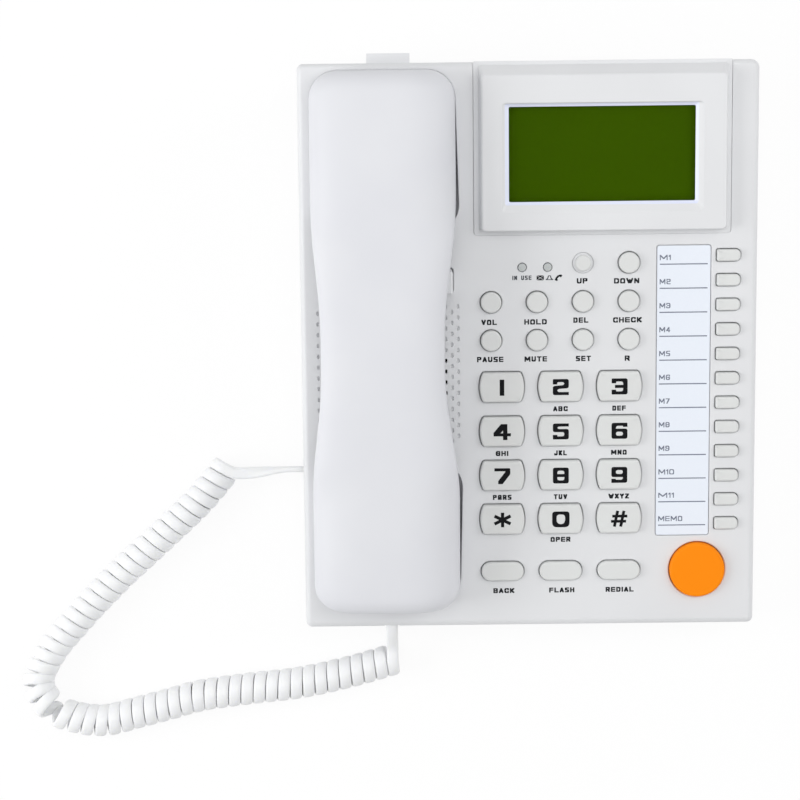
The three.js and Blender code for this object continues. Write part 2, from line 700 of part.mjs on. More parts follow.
// ---------------------------------------------------------------- bottom shell of the base
function feet() {
  const x = BASE_WIDTH / 2 - FOOT_INSET[0];
  const y = SLOPE_LENGTH / 2 - FOOT_INSET[1];
  return [[x, y], [-x, y], [-x, -y], [x, -y]].map((at) => solid(
    prism(round(FOOT_RADIUS, at, 14), 0, FOOT_HEIGHT + WALL / 2),
  ));
}

function keyholes() {
  const low = FOOT_HEIGHT - 1;
  const high = FOOT_HEIGHT + WALL + 1;
  return [-KEYHOLE_Y, KEYHOLE_Y].flatMap((y) => [
    solid(prism(round(KEYHOLE.head, [0, y], 12), low, high)),
    solid(prism(outline(2 * KEYHOLE.neck, 2 * KEYHOLE.run, KEYHOLE.neck, 3, [0, y]), low, high)),
  ]);
}

// Pedestals that the two socket blocks stand on.
function pedestals() {
  const floor = FOOT_HEIGHT + WALL / 2;
  const rear = SLOPE_LENGTH / 2 - WALL - 1;
  const left = -BASE_WIDTH / 2 + WALL + LIP_THICKNESS + 1;
  return [
    block([LINE_JACK_U - 6, rear - LINE_JACK.depth, floor], [LINE_JACK_U + 6, rear - 2, TRAY_TOP]),
    block(
      [left + 2, BASE_JACK_Y - 5, floor],
      [left + BASE_JACK.depth - 3, BASE_JACK_Y + 5, BASE_JACK.bottom - SEAT_GAP],
    ),
  ].map(solid);
}

function baseBottomShell() {
  const floorTop = FOOT_HEIGHT + WALL;
  const frame = (inset, low, high, hollow, hollowLow) => cut(
    solid(planPrism(inset, low, high)), solid(planPrism(hollow, hollowLow, 2 * TRAY_TOP)),
  );
  const lipOuter = WALL + SEAT_GAP;
  const lipInner = lipOuter + LIP_THICKNESS;
  const tray = frame(0, FOOT_HEIGHT, TRAY_TOP, WALL, floorTop);
  const ledge = frame(WALL / 2, TRAY_TOP - 2 * LIP_THICKNESS, TRAY_TOP, lipInner, 0);
  const lip = frame(lipOuter, TRAY_TOP - LIP_THICKNESS, TRAY_TOP + LIP_HEIGHT, lipInner, 0);
  const pillars = BOSSES.map((at) => solid(
    prism(round(PILLAR_RADIUS, at, 10), FOOT_HEIGHT + WALL / 2, BOSS_SEAT - SEAT_GAP),
  ));
  const bores = BOSSES.flatMap((at) => [
    solid(prism(round(SCREW_CLEARANCE, at, 8), 0, BOSS_SEAT + 1)),
    solid(prism(round(SCREW_HEAD, at, 8), 0, BOSS_SEAT - 6)),
  ]);
  const lipTop = TRAY_TOP + LIP_HEIGHT + 1;
  const half = LINE_JACK.width / 2 + JACK_FLANGE + PLUG_GAP;
  const lipCuts = [
    block(
      [LINE_JACK_U - half, SLOPE_LENGTH / 2 - 3 * WALL, TRAY_TOP],
      [LINE_JACK_U + half, SLOPE_LENGTH / 2, lipTop],
    ),
    block(
      [-BASE_WIDTH / 2, BASE_JACK_Y - BASE_JACK.width / 2 - 1, TRAY_TOP],
      [-BASE_WIDTH / 2 + 3 * WALL, BASE_JACK_Y + BASE_JACK.width / 2 + 1, lipTop],
    ),
  ].map(solid);
  return piece('base_bottom_shell', geometryOf(cut(
    join(tray, ledge, lip, ...pillars, ...feet(), ...pedestals()),
    ...bores, ...keyholes(), ...lipCuts,
  )), FINISH.base);
}

// ---------------------------------------------------------------- display head
// Side view of the head, (v, w): hinge round, front slope, plateau, rear and underside.
function headProfile() {
  const [v, w] = HINGE_AT;
  const points = [];
  for (let i = 0; i <= 6; i += 1) {
    const angle = Math.PI * (1.5 - 0.75 * i / 6);
    points.push(new THREE.Vector2(v + HINGE_RADIUS * Math.cos(angle), w + HINGE_RADIUS * Math.sin(angle)));
  }
  points.push(
    new THREE.Vector2(PLATEAU.front, PLATEAU_HEIGHT),
    new THREE.Vector2(PLATEAU.rear, PLATEAU_HEIGHT),
    new THREE.Vector2(HEAD_REAR, 0),
    new THREE.Vector2(HEAD_REAR + 3 * WALL, 0),
    new THREE.Vector2(HEAD_REAR + 3 * WALL, -HEAD_DEPTH),
    new THREE.Vector2(v + HEAD_DEPTH / 2, -HEAD_DEPTH),
  );
  return points;
}

// View from the front, (u, w): the plateau's sloping sides run on below the panel.
function headSection() {
  const leftRun = PLATEAU.left - HEAD_LEFT;
  const rightRun = HEAD_RIGHT - PLATEAU.right;
  const drop = 2 * HEAD_DEPTH / PLATEAU_HEIGHT;
  return [
    new THREE.Vector2(PLATEAU.left - leftRun * (1 + drop), -2 * HEAD_DEPTH),
    new THREE.Vector2(PLATEAU.right + rightRun * (1 + drop), -2 * HEAD_DEPTH),
    new THREE.Vector2(PLATEAU.right, PLATEAU_HEIGHT),
    new THREE.Vector2(PLATEAU.left, PLATEAU_HEIGHT),
  ];
}

function headForm() {
  const width = HEAD_RIGHT - HEAD_LEFT;
  const middle = (HEAD_LEFT + HEAD_RIGHT) / 2;
  const plan = edges(
    { left: HEAD_LEFT, right: HEAD_RIGHT, front: HEAD_FRONT, rear: BASE_LENGTH }, HEAD_CORNER,
  );
  return common(
    solid(acrossWidth(headProfile(), width).translate(middle, 0, 0)),
    solid(alongLength(headSection(), 0, BASE_LENGTH)),
    solid(prism(plan, -2 * HEAD_DEPTH, 2 * HEAD_DEPTH)),
    solid(upright(planPrism(0, 0, 2 * PANEL_HEIGHT))),
  );
}

function aboveSplit(w) {
  return solid(block([-BASE_WIDTH, 0, w], [BASE_WIDTH, BASE_LENGTH, 2 * HEAD_DEPTH]));
}

function windowBevel() {
  const [side, end] = WINDOW_BEVEL;
  const low = PLATEAU_HEIGHT - WINDOW_BEVEL_DEPTH;
  const over = 1;
  const slope = (PLATEAU_HEIGHT + over - low) / WINDOW_BEVEL_DEPTH;
  const wide = edges({
    left: WINDOW.left - side * slope, right: WINDOW.right + side * slope,
    front: WINDOW.front - end * slope, rear: WINDOW.rear + end * slope,
  }, 1.2, 0, 3);
  return solid(stack([[edges(WINDOW, 0.6, 0, 3), low], [wide, PLATEAU_HEIGHT + over]]));
}

const LENS_TOP = PLATEAU_HEIGHT - WALL - SEAT_GAP;
const LCD_TOP = LENS_TOP - LENS_THICKNESS - SEAT_GAP;
const HEAD_CAVITY = {
  left: WINDOW.left - LCD_LAP - 2 * SEAT_GAP, right: WINDOW.right + LCD_LAP + 2 * SEAT_GAP,
  front: WINDOW.front - LCD_LAP - 2 * SEAT_GAP, rear: WINDOW.rear + LCD_LAP + 2 * SEAT_GAP,
};

function displayBezel() {
  const shell = cut(
    common(headForm(), aboveSplit(HEAD_SPLIT)),
    solid(prism(edges(HEAD_CAVITY, 1, 0, 2), -2 * HEAD_DEPTH, PLATEAU_HEIGHT - WALL)),
    solid(prism(edges(WINDOW, 0.6, 0, 3), 0, PLATEAU_HEIGHT)),
    windowBevel(),
  );
  const reach = (HEAD_RIGHT - HEAD_LEFT) / 2 + WALL;
  const middle = (HEAD_LEFT + HEAD_RIGHT) / 2;
  const pins = cut(
    solid(acrossWidth(round(HINGE_PIN, HINGE_AT, 12), reach).translate(middle, 0, 0)),
    solid(block([HEAD_LEFT + 1, HEAD_FRONT, -HEAD_DEPTH], [HEAD_RIGHT - 1, HEAD_REAR, HEAD_DEPTH])),
  );
  return piece('display_bezel', geometryOf(join(shell, pins)), FINISH.base);
}

function displayRearCover() {
  const lower = cut(headForm(), aboveSplit(HEAD_SPLIT - SEAT_GAP));
  const room = { ...HEAD_CAVITY, front: HEAD_CAVITY.front + 3 };
  const tray = cut(lower, solid(prism(edges(room, 1, 0, 2), -HEAD_DEPTH + WALL, HEAD_DEPTH)));
  const top = LCD_TOP - LCD_THICKNESS - SEAT_GAP;
  const posts = [[0, 0], [0, 1], [1, 0], [1, 1]].map(([i, j]) => {
    const at = [
      i ? HEAD_CAVITY.right - 7 : HEAD_CAVITY.left + 7,
      j ? HEAD_CAVITY.rear - 6 : HEAD_CAVITY.front + 9,
    ];
    return solid(prism(round(2.5, at, 8), -HEAD_DEPTH + WALL / 2, top));
  });
  return piece('display_rear_cover', geometryOf(join(tray, ...posts)), FINISH.base);
}

function displayLens() {
  const plate = prism(edges(WINDOW, 1, LENS_LAP, 3), LENS_TOP - LENS_THICKNESS, LENS_TOP);
  return piece('display_lens', plate, FINISH.lens);
}

function lcdPanel() {
  const plate = prism(edges(WINDOW, 0.6, LCD_LAP, 2), LCD_TOP - LCD_THICKNESS, LCD_TOP);
  return piece('lcd_panel', plate, FINISH.lcd);
}

// ---------------------------------------------------------------- parts under the panel
function memoryCard() {
  const low = -CARD_THICKNESS - SEAT_GAP;
  return piece('memory_card', prism(edges(CARD, 0.8, 0, 2), low, -SEAT_GAP), FINISH.card);
}

function keypadMat() {
  const bottom = -MAT_DEPTH - MAT_THICKNESS;
  const sheet = {
    left: BOARD.left + MAT_INSET.left, right: BOARD.right - MAT_INSET.right,
    front: BOARD.front + MAT_INSET.front, rear: BOARD.rear - MAT_INSET.rear,
  };
  const keyFoot = -WALL - 2 * SEAT_GAP - KEY_FLANGE_THICKNESS;
  const domes = KEYS.map(({ form, at }) => {
    const radius = Math.min(DOME_RADIUS, form.height / 2 - 0.5);
    return solid(stack([
      [round(radius, at, 6), -MAT_DEPTH - MAT_THICKNESS / 2],
      [round(radius * 0.7, at, 6), keyFoot],
    ]));
  });
  const holes = BOARD_POST_AT.map((v) => solid(
    prism(round(BOARD_POST + 1, [(CARD.left + CARD.right) / 2, v], 8), -BASE_WIDTH, BASE_WIDTH),
  ));
  for (let i = 0; i < LAMP_COUNT; i += 1) {
    const at = [LAMP_FIRST[0] + i * LAMP_PITCH, LAMP_FIRST[1]];
    holes.push(solid(prism(round(LAMP_RADIUS + 1, at, 8), -BASE_WIDTH, BASE_WIDTH)));
  }
  const plate = solid(prism(edges(sheet, 2, 0, 3), bottom, -MAT_DEPTH));
  return piece('keypad_mat', geometryOf(cut(join(plate, ...domes), ...holes)), FINISH.rubber);
}

// Board with its two lamps, the processor and two capacitors on the underside.
function mainBoard() {
  const top = -MAT_DEPTH - MAT_THICKNESS - SEAT_GAP;
  const bottom = top - BOARD_THICKNESS;
  const seat = bottom + SOLDER_DEPTH;
  const parts = [solid(prism(edges(BOARD, 1.5, 0, 3), bottom, top))];
  for (let i = 0; i < LAMP_COUNT; i += 1) {
    const at = [LAMP_FIRST[0] + i * LAMP_PITCH, LAMP_FIRST[1]];
    parts.push(solid(prism(round(LAMP_RADIUS, at, 10), seat, LAMP_PROUD)));
  }
  const [chipU, chipV] = CHIP.at;
  parts.push(solid(block(
    [chipU - CHIP.width / 2, chipV - CHIP.length / 2, bottom - CHIP.height],
    [chipU + CHIP.width / 2, chipV + CHIP.length / 2, seat],
  )));
  CAPACITOR.at.forEach((at) => {
    parts.push(solid(prism(round(CAPACITOR.radius, at, 12), bottom - CAPACITOR.height, seat)));
  });
  return piece('main_board', geometryOf(join(...parts)), FINISH.board);
}

function loudspeaker() {
  const top = -WALL - SEAT_GAP;
  const magnet = top - SPEAKER_DEPTH;
  const shape = revolve([
    [0, magnet], [11, magnet], [11, magnet + 5], [14, magnet + 6], [SPEAKER_RADIUS - 2, top - 3],
    [SPEAKER_RADIUS, top - 3], [SPEAKER_RADIUS, top], [SPEAKER_RADIUS - 3, top],
    [SPEAKER_RADIUS - 5, top - 1.5], [7, top - 6], [0, top - 4.5],
  ], 20);
  const mesh = piece('loudspeaker', shape, FINISH.speaker);
  mesh.position.set(HANDSET_U, SPEAKER_V, 0);
  return mesh;
}

// ---------------------------------------------------------------- handset form
const smooth = (t) => THREE.MathUtils.smoothstep(t, 0, 1);

function handsetHalfWidth(v) {
  const towardsEar = smooth((v - WAIST[1]) / EAR_FLARE);
  const towardsMouth = smooth((WAIST[0] - v) / MOUTH_FLARE);
  return WAIST_HALF + (EAR_HALF - WAIST_HALF) * towardsEar + (MOUTH_HALF - WAIST_HALF) * towardsMouth;
}

function handsetTop(v) {
  const middle = (HANDSET_REAR + HANDSET_FRONT) / 2;
  const t = (v - middle) / ((HANDSET_REAR - HANDSET_FRONT) / 2);
  return HANDSET_END_TOP + (HANDSET_CROWN - HANDSET_END_TOP) * (1 - t * t);
}

// Underside: flat ear and mouth faces in the cups, a steep shoulder, then the arched grip.
function handsetUnderside(v) {
  const arch = GRIP_CLEARANCE * (1 - GRIP_ARCH * (v / EAR_CUP[0]) ** 2);
  const ear = smooth((EAR_CUP[0] + SHOULDER_INSET - v) / SHOULDER);
  const mouth = smooth((v - MOUTH_CUP[1] + SHOULDER_INSET) / SHOULDER);
  const rise = Math.min(ear, mouth);
  return -HANDSET_SINK + (arch + HANDSET_SINK) * rise;
}

// How far a rounded end falls back at a distance from its tip.
function endRound(distance, radius) {
  const d = Math.min(Math.max(distance, 0), radius);
  return radius - Math.sqrt(radius * radius - (radius - d) * (radius - d));
}

function handsetSection(v, inset, count) {
  const distance = Math.min(HANDSET_REAR - inset - v, v - HANDSET_FRONT - inset);
  const top = handsetTop(v) - inset;
  const bottom = handsetUnderside(v) + inset;
  const half = handsetHalfWidth(v) - inset - endRound(distance, HANDSET_CORNER - inset);
  const middle = (top + bottom) / 2;
  return Array.from({ length: count }, (_, i) => {
    const angle = i * 2 * Math.PI / count;
    const below = Math.sin(angle) < 0;
    const power = below ? FACE_POWER : BACK_POWER;
    const endRadius = (below ? FACE_END_ROUND : HANDSET_END_ROUND) - inset;
    const height = (top - bottom) / 2 - endRound(distance, endRadius);
    const soft = (value) => Math.sign(value) * Math.abs(value) ** (2 / power);
    return new THREE.Vector3(
      HANDSET_U - half * soft(Math.cos(angle)), v, middle + height * soft(Math.sin(angle)),
    );
  });
}

function handsetParting(v) {
  return (handsetTop(v) + handsetUnderside(v)) / 2;
}

function handsetStations(inset, step) {
  const front = HANDSET_FRONT + inset;
  const rear = HANDSET_REAR - inset;
  const radius = HANDSET_CORNER - inset;
  const ends = [0, 0.12, 0.38, 0.7].map((share) => share * radius);
  const count = Math.round((rear - front - 2 * radius) / step);
  const middle = Array.from(
    { length: count + 1 }, (_, i) => front + radius + (rear - front - 2 * radius) * i / count,
  );
  return [...ends.map((d) => front + d), ...middle, ...ends.map((d) => rear - d).reverse()];
}

function handsetForm(inset, count, step) {
  return solid(loft(handsetStations(inset, step).map((v) => handsetSection(v, inset, count))));
}

// Everything below the parting line between the two handset shells.
function belowParting(shift) {
  const count = 36;
  const start = HANDSET_FRONT - 5;
  const length = HANDSET_REAR - HANDSET_FRONT + 10;
  const points = Array.from({ length: count + 1 }, (_, i) => {
    const v = start + length * i / count;
    return new THREE.Vector2(v, handsetParting(v) + shift);
  });
  points.push(new THREE.Vector2(start + length, -FAR), new THREE.Vector2(start, -FAR));
  return solid(acrossWidth(points, 2 * MOUTH_HALF).translate(HANDSET_U, 0, 0));
}

function soundHoles(v, count, circle) {
  const places = Array.from({ length: count }, (_, i) => {
    const angle = i * 2 * Math.PI / count;
    return [HANDSET_U + circle * Math.cos(angle), v + circle * Math.sin(angle)];
  });
  places.push([HANDSET_U, v]);
  return places.map((at) => solid(
    prism(
      round(SOUND_HOLE, at, 6), -HANDSET_SINK - 2, -HANDSET_SINK + HANDSET_WALL + 2 * CAPSULE_SEAT,
    ),
  ));
}

function handsetShells() {
  const outer = handsetForm(0, 16, 7.5);
  const inner = handsetForm(HANDSET_WALL, 12, 11);
  const skin = cut(outer, inner);
  const back = cut(skin, belowParting(SEAT_GAP / 2));
  const end = HANDSET_FRONT;
  const depth = PLUG.length + PLUG_SINK;
  const half = PLUG.width / 2 + PLUG_GAP;
  const rise = PLUG.height / 2 + PLUG_GAP;
  const housing = common(outer, solid(block(
    [CORD_U - half - 2, end, -HANDSET_SINK], [CORD_U + half + 2, end + depth + 3, PLUG_W + rise + 1.2],
  )));
  const socket = solid(block(
    [CORD_U - half, end - 2, PLUG_W - rise], [CORD_U + half, end + depth + PLUG_GAP, PLUG_W + rise],
  ));
  const seats = [RECEIVER, MICROPHONE].map(({ radius, v }) => solid(prism(
    round(radius + CAPSULE_RIM, [HANDSET_U, v], 20),
    -HANDSET_SINK + HANDSET_WALL / 2, -HANDSET_SINK + HANDSET_WALL + CAPSULE_SEAT,
  )));
  const face = cut(
    join(common(skin, belowParting(-SEAT_GAP / 2)), housing, ...seats),
    socket,
    ...soundHoles(RECEIVER.v, 6, SOUND_CIRCLE), ...soundHoles(MICROPHONE.v, 2, 3),
  );
  return [
    piece('handset_back_shell', geometryOf(back), FINISH.handset),
    piece('handset_face_shell', geometryOf(face), FINISH.handset),
  ];
}

// Round capsule lying on the inside of the handset's face.
function capsule(name, { radius, height, v }, step) {
  const low = -HANDSET_SINK + HANDSET_WALL + CAPSULE_SEAT + SEAT_GAP;
  const mesh = piece(name, revolve([
    [0, low], [radius, low], [radius, low + height * 0.6],
    [radius - step, low + height], [0, low + height],
  ], 20), FINISH.speaker);
  mesh.position.set(HANDSET_U, v, 0);
  return mesh;
}

function hookPlunger() {
  const [front, rear] = HOOK_V;
  const box = { left: HANDSET_U - HOOK_REACH[0], right: HANDSET_U + HOOK_REACH[1], front, rear };
  const touch = Math.min(handsetUnderside(front), handsetUnderside(rear)) - SEAT_GAP;
  const flangeTop = -WALL - SEAT_GAP - HOOK_TRAVEL;
  return piece('hook_switch_plunger', stack([
    [edges(box, 1, HOOK_FLANGE, 3), flangeTop - 1.4],
    [edges(box, 1, HOOK_FLANGE, 3), flangeTop],
    [edges(box, 1, 0, 3), flangeTop + 0.01],
    [edges(box, 1, 0, 3), touch - 1],
    [edges(box, 1, -1, 3), touch],
  ]), FINISH.base);
}

// ---------------------------------------------------------------- sockets and plugs
function lineJack() {
  const rear = SLOPE_LENGTH / 2;
  const half = LINE_JACK.width / 2;
  const low = TRAY_TOP + SEAT_GAP;
  const high = low + LINE_JACK.height;
  const inside = rear - WALL - PLUG_GAP;
  const socketLow = (low + high - LINE_SOCKET.height) / 2;
  const body = join(
    solid(block(
      [LINE_JACK_U - half, rear - LINE_JACK.depth, low], [LINE_JACK_U + half, rear + LINE_JACK.proud, high],
    )),
    solid(block(
      [LINE_JACK_U - half - JACK_FLANGE, inside - 2, low], [LINE_JACK_U + half + JACK_FLANGE, inside, high],
    )),
  );
  const socket = solid(block(
    [LINE_JACK_U - LINE_SOCKET.width / 2, rear + LINE_JACK.proud - LINE_SOCKET.depth, socketLow],
    [LINE_JACK_U + LINE_SOCKET.width / 2, rear + LINE_JACK.proud + 1, socketLow + LINE_SOCKET.height],
  ));
  const latch = solid(block(
    [LINE_JACK_U - 2.2, rear + LINE_JACK.proud - LINE_SOCKET.depth, socketLow + 1],
    [LINE_JACK_U + 2.2, rear + LINE_JACK.proud + 1, socketLow + LINE_SOCKET.height + 2],
  ));
  return piece('line_jack', geometryOf(cut(body, socket, latch)), FINISH.jack);
}

function baseCordJack() {
  const left = -BASE_WIDTH / 2 + WALL + PLUG_GAP;
  const y = BASE_JACK_Y;
  const body = solid(block(
    [left, y - BASE_JACK.width / 2, BASE_JACK.bottom],
    [left + BASE_JACK.depth, y + BASE_JACK.width / 2, BASE_JACK.top],
  ));
  const socket = solid(block(
    [left - 1, y - PLUG.height / 2 - PLUG_GAP, BASE_JACK_Z - PLUG.width / 2 - PLUG_GAP],
    [-BASE_WIDTH / 2 + PLUG_SINK + PLUG.length + PLUG_GAP, y + PLUG.height / 2 + PLUG_GAP,
      BASE_JACK_Z + PLUG.width / 2 + PLUG_GAP],
  ));
  return piece('base_cord_jack', geometryOf(cut(body, socket)), FINISH.jack);
}

// Modular plug lying along +Y with its nose at the far end, wide side along X.
function plugGeometry() {
  const half = PLUG.width / 2;
  const rise = PLUG.height / 2;
  const body = solid(block([-half, 0, -rise], [half, PLUG.length, rise - 1]));
  const crown = solid(block([-half, 3, -rise], [half, PLUG.length, rise - 0.2]));
  const latch = solid(block([-1.6, 1.5, -rise], [1.6, PLUG.length - 3, rise]));
  return geometryOf(join(body, crown, latch));
}

function handsetPlug() {
  const mesh = piece('handset_plug', plugGeometry(), FINISH.plug);
  mesh.position.set(CORD_U, HANDSET_FRONT + PLUG_SINK, PLUG_W);
  return mesh;
}

// The same plug pointing along +X with its wide side upright.
function basePlug() {
  const turned = new THREE.Matrix4().makeBasis(
    new THREE.Vector3(0, 0, 1), new THREE.Vector3(1, 0, 0), new THREE.Vector3(0, 1, 0),
  );
  const mesh = piece('base_plug', plugGeometry().applyMatrix4(turned), FINISH.plug);
  mesh.position.set(-BASE_WIDTH / 2 + PLUG_SINK, BASE_JACK_Y, BASE_JACK_Z);
  return mesh;
}

// ---------------------------------------------------------------- cord
const COIL_AXIS_HEIGHT = COIL_DIAMETER / 2 + 0.3;

function tubeAlong(points, section, steps) {
  const path = new THREE.CatmullRomCurve3(points, false, 'centripetal');
  return new THREE.ExtrudeGeometry(new THREE.Shape(section), { steps, extrudePath: path });
}

function cordCoil() {
  const points = COIL_ROUTE.map(([x, y]) => new THREE.Vector3(x, y, COIL_AXIS_HEIGHT));
  const section = round(COIL_DIAMETER / 2, [0, 0], COIL_SIDES);
  return piece('cord_coil', tubeAlong(points, section, 26), FINISH.cord);
}

// Flat lead from the handset's plug through the tunnel and down onto the coil.
function cordLeadHandset() {
  const start = new THREE.Vector3(CORD_U, HANDSET_FRONT + PLUG_SINK - SEAT_GAP, PLUG_W)
    .applyMatrix4(PANEL_MATRIX);
  const outside = new THREE.Vector3(CORD_U, -BASE_LENGTH / 2 - 1, PLUG_W).applyMatrix4(PANEL_MATRIX);
  const rest = COIL_DIAMETER + SEAT_GAP * 2 + CORD_THICKNESS / 2;
  const points = [
    start, outside,
    new THREE.Vector3(CORD_U, outside.y - 6, outside.z - 3),
    new THREE.Vector3(CORD_U, COIL_ROUTE[0][1] + 4, rest + 1.2),
    new THREE.Vector3(CORD_U, COIL_ROUTE[0][1], rest),
  ];
  const section = outline(CORD_WIDTH, CORD_THICKNESS, CORD_THICKNESS / 2 - 0.1, 2);
  return piece('cord_lead_handset', tubeAlong(points, section, 10), FINISH.cord);
}

// Lead from the coil's other end up to the plug in the left wall.
function cordLeadBase() {
  const [coilX, coilY] = COIL_ROUTE[COIL_ROUTE.length - 1];
  const wall = -BASE_WIDTH / 2 + PLUG_SINK - SEAT_GAP;
  const points = [
    new THREE.Vector3(wall, BASE_JACK_Y, BASE_JACK_Z),
    new THREE.Vector3(wall - 6, BASE_JACK_Y + 0.6, BASE_JACK_Z - 0.4),
    new THREE.Vector3(wall - 16, BASE_JACK_Y + 2.2, BASE_JACK_Z - 2),
    new THREE.Vector3(coilX + 5.4, coilY + 3.4, BASE_JACK_Z - 4.2),
    new THREE.Vector3(coilX + 0.8, coilY + 2.9, COIL_AXIS_HEIGHT + 1),
  ];
  const section = outline(CORD_THICKNESS, CORD_WIDTH, CORD_THICKNESS / 2 - 0.1, 2);
  return piece('cord_lead_base', tubeAlong(points, section, 10), FINISH.cord);
}

// ---------------------------------------------------------------- assembly
function build() {
  const panel = new THREE.Group();
  panel.applyMatrix4(PANEL_MATRIX);
  panel.add(
    baseTopShell(), displayBezel(), displayRearCover(), displayLens(), lcdPanel(),
    ...keys(), memoryCard(), keypadMat(), mainBoard(), loudspeaker(),
    ...handsetShells(), capsule('handset_receiver', RECEIVER, 3),
    capsule('handset_microphone', MICROPHONE, 0.6), hookPlunger(), handsetPlug(),
  );
  const phone = new THREE.Group();
  phone.add(
    panel, baseBottomShell(), lineJack(), baseCordJack(), basePlug(), cordCoil(),
    cordLeadHandset(), cordLeadBase(),
  );
  return phone;
}

// The origin lies under the middle of the phone itself, its cord left out.
function centred(phone) {
  const cordPieces = /^(cord_|handset_plug|base_plug)/;
  phone.updateMatrixWorld(true);
  const box = new THREE.Box3();
  phone.traverse((node) => {
    if (node.isMesh && !cordPieces.test(node.name)) box.expandByObject(node, true);
  });
  const middle = box.getCenter(new THREE.Vector3());
  phone.position.set(-middle.x, -middle.y, -box.min.z);
  const root = new THREE.Group();
  root.add(phone);
  return root;
}

export default centred(build());
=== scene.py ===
import json
import math

import bpy
from mathutils import Matrix, Vector
from mathutils.geometry import convex_hull_2d, delaunay_2d_cdt


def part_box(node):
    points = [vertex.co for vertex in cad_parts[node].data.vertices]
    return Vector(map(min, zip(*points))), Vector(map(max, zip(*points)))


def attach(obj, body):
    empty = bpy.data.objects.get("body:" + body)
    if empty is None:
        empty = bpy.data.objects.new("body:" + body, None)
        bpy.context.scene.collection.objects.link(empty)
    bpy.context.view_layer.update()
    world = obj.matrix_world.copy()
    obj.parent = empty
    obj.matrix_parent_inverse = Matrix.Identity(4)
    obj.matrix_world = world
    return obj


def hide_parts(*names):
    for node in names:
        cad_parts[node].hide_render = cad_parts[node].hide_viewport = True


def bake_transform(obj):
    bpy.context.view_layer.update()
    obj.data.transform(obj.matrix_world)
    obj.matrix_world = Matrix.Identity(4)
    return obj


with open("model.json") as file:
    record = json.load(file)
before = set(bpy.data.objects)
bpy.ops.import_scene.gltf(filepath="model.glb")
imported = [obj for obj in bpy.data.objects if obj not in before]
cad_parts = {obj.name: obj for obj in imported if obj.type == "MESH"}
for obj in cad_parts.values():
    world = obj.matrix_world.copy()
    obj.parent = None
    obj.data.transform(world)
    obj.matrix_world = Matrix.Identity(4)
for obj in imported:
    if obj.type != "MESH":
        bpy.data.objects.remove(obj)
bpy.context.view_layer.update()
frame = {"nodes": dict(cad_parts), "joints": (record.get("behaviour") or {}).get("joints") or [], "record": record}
NODES = frame["nodes"]
JOINTS = {joint["name"]: joint for joint in frame["joints"]}
SCENE = bpy.context.scene

# ---------------------------------------------------------------- panel frame
# Sizes are in millimetres: u across the panel, v up its slope, w square to it.
MM = 0.001
HINGE_V, HINGE_W = 47.75, -3.0
RIGHT = Vector((1, 0, 0))
NORMAL = Vector(JOINTS["handset_lift"]["axis"])
UPHILL = NORMAL.cross(RIGHT)
TILT = math.atan2(-NORMAL.y, NORMAL.z)
ORIGIN = Vector(JOINTS["display_tilt"]["pos_m"]) - (UPHILL * HINGE_V + NORMAL * HINGE_W) * MM
ORIGIN.x = 0
PANEL = (
    Matrix.Translation(ORIGIN)
    @ Matrix((RIGHT, UPHILL, NORMAL)).transposed().to_4x4()
    @ Matrix.Scale(MM, 4)
)
TABLE = Matrix.Scale(MM, 4)
TO_PANEL = PANEL.inverted()
TABLE_TO_PANEL = TO_PANEL @ TABLE


def panel_box(node):
    """Lowest and highest (u, v, w) of a CAD node, in millimetres."""
    points = [TO_PANEL @ vertex.co for vertex in NODES[node].data.vertices]
    return Vector(map(min, *points)), Vector(map(max, *points))


def panel_height(y):
    """Height of the panel's plane over the table, in millimetres, at a place along the table."""
    return ORIGIN.z / MM + (y - ORIGIN.y / MM) * math.tan(TILT)


# ---------------------------------------------------------------- camera
CAMERA_AT = (-0.05107, -0.02423, 0.95)
CAMERA_LENS = 103.8
CAMERA_ROLL = -0.65


def make_camera():
    data = bpy.data.cameras.new("camera")
    data.lens = CAMERA_LENS
    data.sensor_width = 36
    camera = bpy.data.objects.new("camera", data)
    camera.location = CAMERA_AT
    camera.rotation_euler = (0, 0, math.radians(CAMERA_ROLL))
    SCENE.collection.objects.link(camera)
    SCENE.camera = camera


make_camera()


# ---------------------------------------------------------------- materials
def linear(hex_colour):
    """Linear colour of an sRGB hex value."""
    channels = [int(hex_colour[i:i + 2], 16) / 255 for i in (1, 3, 5)]
    return (*(c / 12.92 if c <= 0.04045 else ((c + 0.055) / 1.055) ** 2.4 for c in channels), 1)


def add_node(tree, kind, inputs=None, **settings):
    """A node with its settings; an input is a value or the socket that feeds it."""
    node = tree.nodes.new(kind)
    for name, value in settings.items():
        setattr(node, name, value)
    for name, value in (inputs or {}).items():
        if isinstance(value, bpy.types.NodeSocket):
            tree.links.new(value, node.inputs[name])
        else:
            node.inputs[name].default_value = value
    return node


def new_material(name):
    material = bpy.data.materials.new(name)
    material.use_nodes = True
    tree = material.node_tree
    tree.nodes.clear()
    return material, tree


